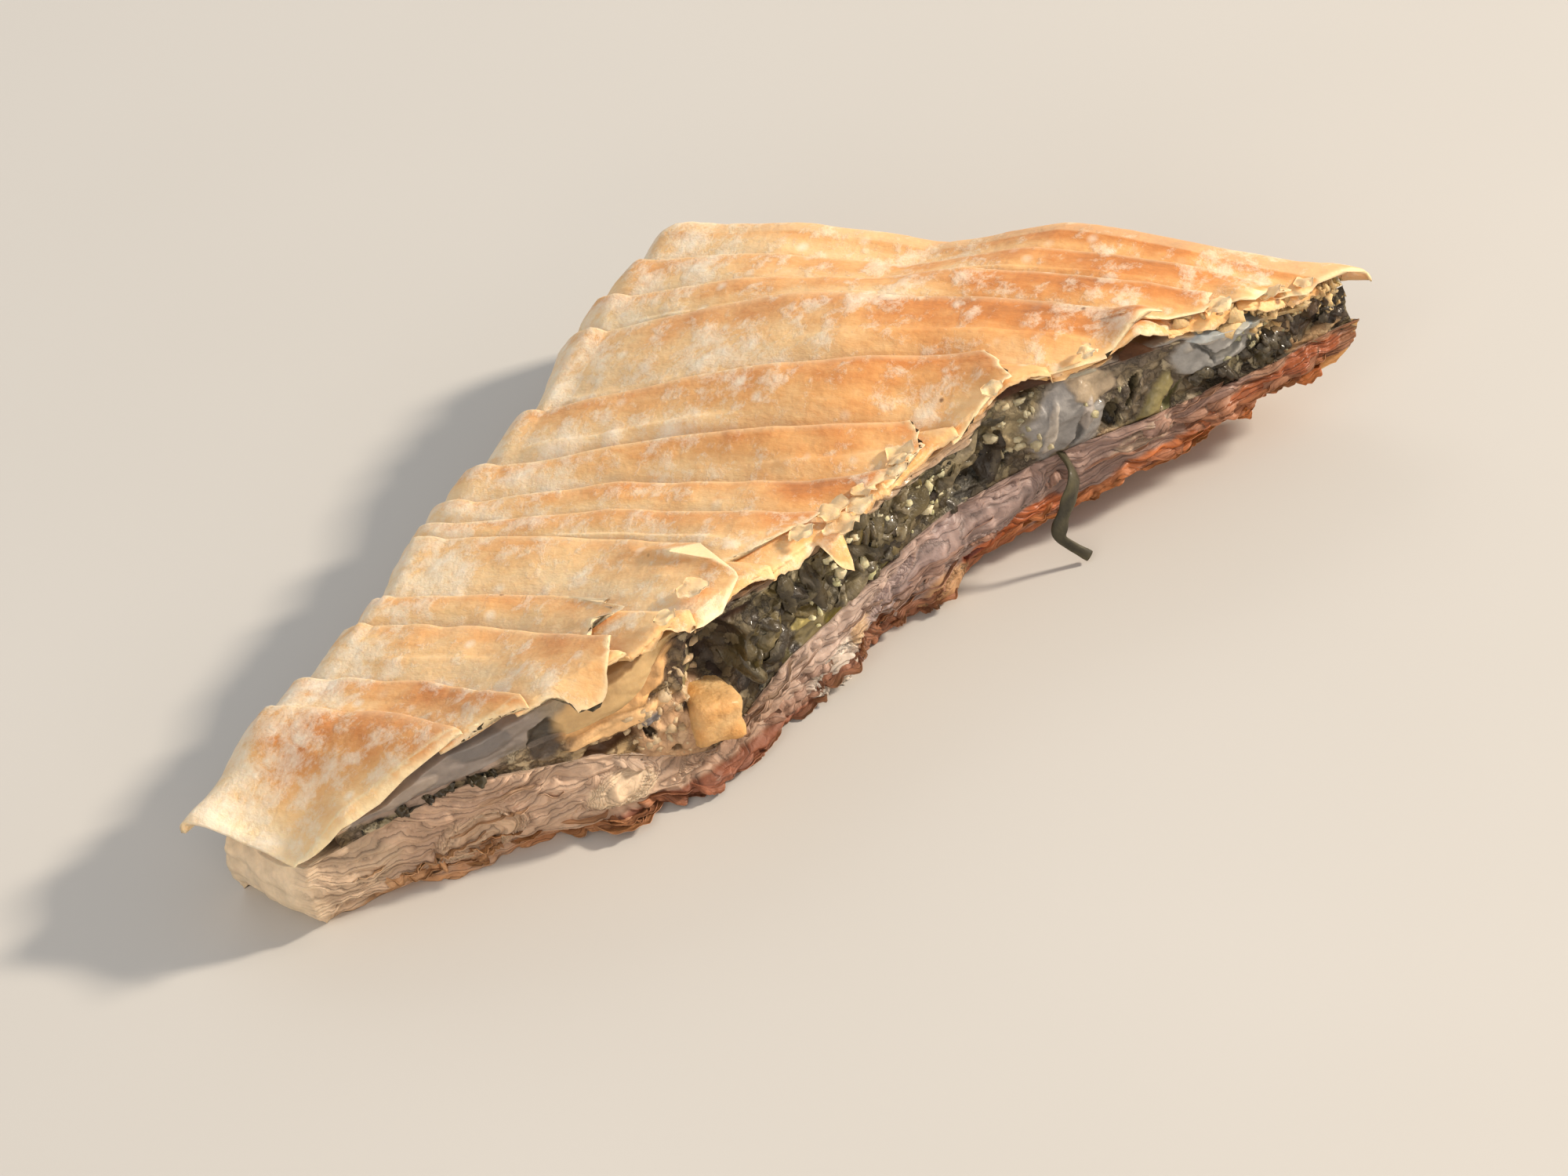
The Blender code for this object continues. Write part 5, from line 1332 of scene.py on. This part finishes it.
def crust_flakes(number, seed, places, levels, reaches, widest, tone_high):
    """Thin brittle leaves that stand out of the cut face of the base, ragged and drooping at the end."""
    dice = np.random.default_rng(seed)
    middle, level, width, reach, droop, slope = throws(dice, number, places, levels,
                                                       (0.3 * widest, widest), reaches,
                                                       (-0.0008, 0.0014), (-0.07, 0.09))
    rows, columns = 25, 6
    number_at = np.arange(number)[:, None, None] * 5.3
    across = np.linspace(-0.5, 0.5, rows)[None, :, None]
    out = np.linspace(0.0, 1.0, columns)[None, None, :]
    x = middle + across * width * (1.0 - 0.35 * out) + 0.0 * out
    ragged = 0.70 + 0.45 * ripple(across * 3.0, number_at, 0.0, seed)
    ragged = ragged + 0.18 * ripple(across * 10.0, number_at, 0.0, seed + 1)
    ragged = ragged * (1.0 - (2.0 * np.abs(across)) ** 8 * 0.95)
    floor_at = lift(x, 0.0 * x)
    height = floor_at + (stations(BASE_STATIONS, x) - floor_at) * level + slope * across * width
    face = cut_of_base(x, level + 0.0 * x, height)[0]
    reach_out = face - 0.0014 + (0.0014 + reach * np.clip(ragged, 0.05, None)) * out
    height = height + 0.0006 * ripple(across * 2.6, out * 1.3, number_at, seed + 2) - droop * out ** 2
    height = np.maximum(height, floor_at + 0.0003)
    tone = by_mm(BASE_LOW, x) * (1.0 - level)[..., None] + by_mm(tone_high, x) * level[..., None]
    tone = tone * (1.0 + 0.30 * ripple(across * 4.0, out * 2.0, number_at, seed + 4))[..., None]
    flat = np.zeros(x.shape + (1,))
    values = {"tone": tone, "wet": flat + 0.2, "layer": (height / 0.0012 + 3.0 * out)[..., None],
              "torn": flat + 0.7}
    return leaf_body(face_point(x, height, reach_out), 0.00017 * (1.15 - 0.6 * out) + 0.0 * x, values)


# Leaves of spinach: (number, seed, places along the cut, levels from the foot to the head of the
# filling, tones, lengths).
SPINACH = (
    (26, 201, (0.063, 0.112), (0.05, 0.95), ("#2A231A", "#4A4630"), (0.0030, 0.0085)),
    (16, 202, (0.074, 0.112), (0.2, 0.95), ("#4A4630", "#8A866E"), (0.0030, 0.0085)),
    (24, 203, (0.066, 0.100), (0.3, 0.9), ("#4A4630", "#645D38"), (0.0030, 0.0085)),
    (14, 205, (0.154, 0.1625), (0.2, 0.9), ("#2A231A", "#54442F"), (0.002, 0.005)),
    (12, 206, (0.140, 0.154), (0.1, 0.5), ("#2A231A", "#4A4630"), (0.002, 0.005)),
    (12, 207, (0.010, 0.028), (0.1, 0.8), ("#2A231A", "#4A4630"), (0.0009, 0.0022)),
)


def leaves_of_spinach(number, seed, places, levels, colours, lengths):
    """Crumpled bits of leaf pressed into the cut face of the filling: ovals, turned, creased by noise."""
    dice = np.random.default_rng(seed)
    middle, level, length, slim, turn = throws(dice, number, places, levels, lengths, (0.28, 0.6),
                                               (-0.9, 0.9))
    turn = turn + dice.choice([0.0, 0.0, 1.4], number)[:, None, None]
    tip, stand = throws(dice, number, (-1.0, 1.0), (-0.0006, 0.0008))
    width = length * slim
    number_at = np.arange(number)[:, None, None] * 4.1
    rows, columns = 10, 7
    u = np.linspace(-0.5, 0.5, rows)[None, :, None]
    v = np.linspace(-0.5, 0.5, columns)[None, None, :]
    taper = np.sqrt(np.clip(1.0 - (1.75 * u) ** 2, 0.06, 1.0))
    taper = taper * (1.0 + 0.3 * ripple(u * 7.0, number_at, v * 2.0, seed + 5))
    along, across = u * length, v * width * taper
    x = middle + along * np.cos(turn) - across * np.sin(turn)
    low, high = stations(BASE_STATIONS, x), stations(FILLING_STATIONS, x)
    height = low + (high - low) * level + along * np.sin(turn) + across * np.cos(turn)
    height = np.clip(height, low - 0.0008, high + 0.0012)
    crease = 0.0008 * ripple(u * 3.0, v * 2.2, number_at, seed + 1)
    crease = crease + 0.0004 * ripple(u * 8.0, v * 6.0, number_at, seed + 2)
    rim = np.maximum(np.abs(2.0 * v), np.abs(2.0 * u))
    out = stand + crease + tip * v * width * 0.6 - 0.0012 * rim ** 2
    out = out + filling_face(x, height, np.full(x.shape, 0.5))[0] + 0.0008
    shade = dice.uniform(0.0, 1.0, number)[:, None, None, None]
    tone = between(colours, shade) * FILLING_CAST
    tone = tone * (0.78 + 0.28 * ripple(u * 4.0, v * 4.0, number_at, seed + 3))[..., None]
    flat = np.zeros(x.shape + (1,))
    values = {"tone": tone, "wet": flat + 0.9, "chop": flat + 0.15}
    return leaf_body(face_point(x, height, out), np.full(x.shape, 0.00022), values)


# Curds and crumbs: (number, seed, places along the cut, levels from the foot to the head of the
# filling, sizes, tones, how far they stand out, rings, sectors, wetness, roughness of their form).
CURDS = (
    (110, 211, (0.0465, 0.0600), (0.0, 0.80), (0.0003, 0.0009), ("#A48C6C", "#C6AE8C"), (-0.0008, -0.0002),
     6, 8, 0.3, 0.6),
    (110, 213, (0.076, 0.103), (0.1, 0.95), (0.0002, 0.0008), ("#D0C4A4", "#A9A67E"), (-0.0004, 0.0005),
     6, 8, 0.3, 0.6),
    (46, 215, (0.110, 0.118), (0.2, 0.95), (0.0003, 0.0009), ("#8A846C", "#B0A588"), (-0.0008, 0.0),
     6, 8, 0.3, 0.6),
    (24, 217, (0.124, 0.160), (0.1, 0.9), (0.0002, 0.0006), ("#A39A7A", "#8F8C70"), (-0.0004, 0.0005),
     6, 8, 0.3, 1.1),
    (34, 219, (0.150, 0.165), (0.6, 1.0), (0.0003, 0.0010), ("#A0835A", "#C9AE80"), (-0.0006, 0.0),
     5, 7, 0.0, 1.3),
    (64, 221, (0.1400, 0.1655), (1.0, 1.30), (0.0003, 0.0011), ("#A8875A", "#CFB284"), (-0.0006, 0.0002),
     5, 7, 0.0, 1.3),
)


def bits(number, seed, places, levels, size_span, colours, stand, rings, sectors, wetness, bump):
    """Small ragged lumps on the cut face of the filling, mostly small: sizes grow with a square."""
    dice = np.random.default_rng(seed)
    x = dice.uniform(*places, number)
    level = dice.uniform(*levels, number)
    low, high = stations(BASE_STATIONS, x), stations(FILLING_STATIONS, x)
    height = low + (high - low) * level
    size = size_span[0] + (size_span[1] - size_span[0]) * dice.uniform(0.0, 1.0, number) ** 2
    out = filling_face(x[None, :], height[None, :], np.full((1, number), 0.5))[0][0]
    out = out + dice.uniform(*stand, number)
    sizes = size[:, None] * dice.uniform(0.45, 1.6, (number, 3))
    shade = dice.uniform(0.0, 1.0, (number, 1))
    values = {"tone": between(colours, shade), "wet": np.full((number, 1), wetness),
              "chop": np.zeros((number, 1))}
    return lumps(face_point(x, height, out), sizes, seed, rings, sectors, bump, values)


def curve_points(points, count):
    """Smooth line through points, evenly spaced by its own length: a cubic through each four neighbours."""
    points = np.asarray(points, float)
    padded = np.concatenate([2 * points[:1] - points[1:2], points, 2 * points[-1:] - points[-2:-1]])
    share = np.linspace(0.0, 1.0, 24, endpoint=False)[None, :, None]
    a, b, c, d = padded[:-3, None], padded[1:-2, None], padded[2:-1, None], padded[3:, None]
    line = 0.5 * (2 * b + (c - a) * share + (2 * a - 5 * b + 4 * c - d) * share ** 2
                  + (3 * b - a - 3 * c + d) * share ** 3)
    line = np.concatenate([line.reshape(-1, points.shape[1]), points[-1:]])
    travel = np.concatenate([[0.0], np.cumsum(np.linalg.norm(np.diff(line, axis=0), axis=1))])
    wanted = np.linspace(0.0, travel[-1], count)
    return np.stack([np.interp(wanted, travel, line[:, axis]) for axis in range(points.shape[1])], axis=1)


# Lump of cheese: place along the cut, height of its middle, half sizes, how far its front stands out
# of the cut, its tilt, how boxy it is, and its tones.
CHEESE_AT = 0.0585
CHEESE_HEIGHT = 0.0099
CHEESE_HALF = np.array([0.0038, 0.0048, 0.0033])
CHEESE_OUT = 0.0026
CHEESE_TILT = math.radians(-14.0)
CHEESE_SQUARE = 6.5
CHEESE_TONES = ("#C8A878", "#BA8648")


def cheese_block():
    """Rounded block of cheese: a sphere pushed out towards a box, tilted, with crumbly sides."""
    polar = np.linspace(0.0, math.pi, 34)[1:-1]
    turn = np.linspace(0.0, 2.0 * math.pi, 54, endpoint=False)[:, None]
    ball = np.stack([np.cos(turn) * np.sin(polar), np.sin(turn) * np.sin(polar),
                     np.cos(polar) * np.ones((54, 1))], axis=-1)
    box = ball / (np.sum(np.abs(ball) ** CHEESE_SQUARE, axis=-1, keepdims=True) ** (1.0 / CHEESE_SQUARE))
    crumb = 0.10 * ripple(box[..., 0] * 1.3 + 3.0, box[..., 1] * 1.3, box[..., 2] * 1.3, 171)
    crumb = crumb + 0.035 * rough(box[..., 0] * 5.0, box[..., 1] * 5.0, box[..., 2] * 5.0, 173)
    box = box * (1.0 + crumb)[..., None] * CHEESE_HALF
    x = CHEESE_AT + box[..., 0] * math.cos(CHEESE_TILT) - box[..., 2] * math.sin(CHEESE_TILT)
    y = float(cut_bow(CHEESE_AT)) + CHEESE_HALF[1] - CHEESE_OUT + box[..., 1]
    z = CHEESE_HEIGHT + box[..., 0] * math.sin(CHEESE_TILT) + box[..., 2] * math.cos(CHEESE_TILT)
    shade = (0.5 + 0.5 * ripple(x / 0.003, z / 0.002, y / 0.003, 175))[..., None]
    values = {"tone": between(CHEESE_TONES, shade), "wet": 0.0 * shade + 0.2, "chop": 0.0 * shade}
    return loft(np.stack([x, y, z], axis=-1), values)


# Path of the spinach strand: (along, place across, height).
STRAND = (
    (0.1200, 0.0040, 0.0138), (0.1192, -0.0014, 0.0128), (0.1174, -0.0022, 0.0100),
    (0.1152, -0.0026, 0.0070), (0.1146, -0.0028, 0.0052), (0.1156, -0.0032, 0.0034),
    (0.1176, -0.0042, 0.0009),
)
STRAND_TONES = ("#1F1D16", "#565038")


def strand():
    """Flat wilted strand along its path: an oval section that twists and narrows to its end."""
    path = curve_points(STRAND, 70)
    heading = unit(np.gradient(path, axis=0))
    side = unit(np.cross(heading, [0.0, 1.0, 0.0]))
    normal = np.cross(side, heading)
    share = np.linspace(0.0, 1.0, len(path))
    twist = 0.5 * np.sin(share * 6.6)
    half = 0.00135 * (1.0 - 0.6 * np.abs(share - 0.25)) * (1.0 + 0.18 * ripple(share * 9.0, 0.0, 0.0, 181))
    angle = np.linspace(0.0, 2.0 * math.pi, 14, endpoint=False)[:, None]
    wide, thick = half * np.cos(angle), 0.00042 * np.sin(angle) * (1.0 + 0.0 * half)
    turned = (side * np.cos(twist)[:, None] + normal * np.sin(twist)[:, None])[None]
    other = (normal * np.cos(twist)[:, None] - side * np.sin(twist)[:, None])[None]
    points = path[None] + turned * wide[..., None] + other * thick[..., None]
    shade = (0.5 + 0.5 * rough(points[..., 2] / 0.003, angle * 0.6 + 0.0 * wide, 0.0, 183))[..., None]
    values = {"tone": between(STRAND_TONES, shade), "wet": 0.0 * shade + 0.4, "chop": 0.0 * shade}
    return loft(points, values)


# Scene


def camera_and_light():
    """Camera where the photograph was taken, a warm key light from its right and three weak soft ones."""
    lens = bpy.data.cameras.new("camera")
    lens.lens = CAMERA_LENS
    lens.sensor_width = SENSOR
    lens.clip_start = 0.02
    lens.clip_end = 10.0
    camera = new_object("camera", lens)
    view = (CAMERA_AIM - CAMERA_AT).normalized()
    turn = view.to_track_quat("-Z", "Y").to_matrix().to_4x4() @ Matrix.Rotation(CAMERA_ROLL, 4, "Z")
    camera.matrix_world = Matrix.Translation(CAMERA_AT) @ turn
    bpy.context.scene.camera = camera
    for name, place, size, power, colour in LIGHTS:
        light = bpy.data.lights.new(name, "AREA")
        light.size = size
        light.energy = power
        light.color = srgb(colour)
        lamp = new_object(name, light)
        lamp.location = place
        lamp.rotation_euler = (Vector(place) - Vector((0.0, 0.0, 0.01))).to_track_quat("Z", "Y").to_euler()
    world = bpy.data.worlds.new("studio")
    world.use_nodes = True
    world.node_tree.nodes["Background"].inputs["Color"].default_value = (*srgb(AIR_TONE), 1.0)
    world.node_tree.nodes["Background"].inputs["Strength"].default_value = AIR_STRENGTH
    bpy.context.scene.world = world
    bpy.context.scene.view_settings.view_transform = "Standard"


def floor():
    """Pale painted floor: matt, so it takes the shadow of the half and mirrors nothing."""
    material, tree, shader = new_material("pale_floor")
    grain = add(tree, "TexNoise", [("Vector", add(tree, "TexCoord").outputs["Object"])], in_Scale=8.0)
    tint = add(tree, "ValToRGB", [("Fac", grain)])
    ramp_stops(tint, ((0.0, "#C3C0BA"), (1.0, "#CBC8C3")))
    tree.links.new(tint.outputs[0], shader.inputs["Base Color"])
    shader.inputs["Roughness"].default_value = 0.8
    data = bpy.data.meshes.new("floor")
    corners = [(x * FLOOR_HALF, y * FLOOR_HALF, 0.0) for x, y in ((-1, -1), (1, -1), (1, 1), (-1, 1))]
    data.from_pydata(corners, [], [(0, 1, 2, 3)])
    data.materials.append(material)
    ground = new_object("floor", data)


def main():
    """Make the scene and every piece."""
    camera_and_light()
    floor()
    crust = baked_filo()
    # Dough soaked by the filling: soft and greyish, with a dull wet gloss and light that passes into it.
    wet, shader = food("wet_dough", grain_scale=900.0, mottle=0.14, bump=0.3)
    soften(shader, weight=0.3, radius=(0.0024, 0.0016, 0.0010))
    # Chopped and cooked spinach: dark, wet and opaque, with small sharp lights, and painted shade in the
    # gaps between the chopped bits.
    chopped = food("cooked_spinach", grain_scale=1100.0, mottle=0.30, bump=0.5)[0]
    # Crumbled curd cheese: pale grains, hardly glossy, that light passes into.
    curd, shader = food("crumbled_curd", grain_scale=1600.0, mottle=0.18, bump=0.6)
    soften(shader, weight=0.3, radius=(0.0020, 0.0014, 0.0008))
    layers, shader = steamed_filo()
    soften(shader, weight=0.2, radius=(0.0020, 0.0013, 0.0008))

    make_piece("pleats", [pleat_sheet(band) for band in range(PLEATS)], crust,
               ("pastry_top",))
    make_piece("torn_leaf", [leaf_under_pleats()], crust)
    make_piece("torn_flakes", [torn_flakes()], crust)
    dough = cut_body(0.0030, 0.1640, over_filling, under_lid, steps=900, levels=40, face_of=dough_face,
                     depth=0.008, drop=0.35)
    make_piece("wet_leaves", [dough], wet)
    core = cut_body(0.0060, CUT_END, over_base, filling_top, steps=900, levels=56, face_of=filling_face,
                    depth=0.018, drop=0.16)
    make_piece("chopped_filling", [core], chopped, ("filling",))
    make_piece("spinach", [leaves_of_spinach(*row) for row in SPINACH] + [strand()], chopped)
    make_piece("curds", [bits(*row) for row in CURDS], curd)
    make_piece("cheese", [cheese_block()], curd, ("cheese_lump",))
    make_piece("base", [base_body()], layers, ("pastry_bottom",))
    make_piece("base_flakes", [crust_flakes(*row) for row in FLAKES], layers)


main()
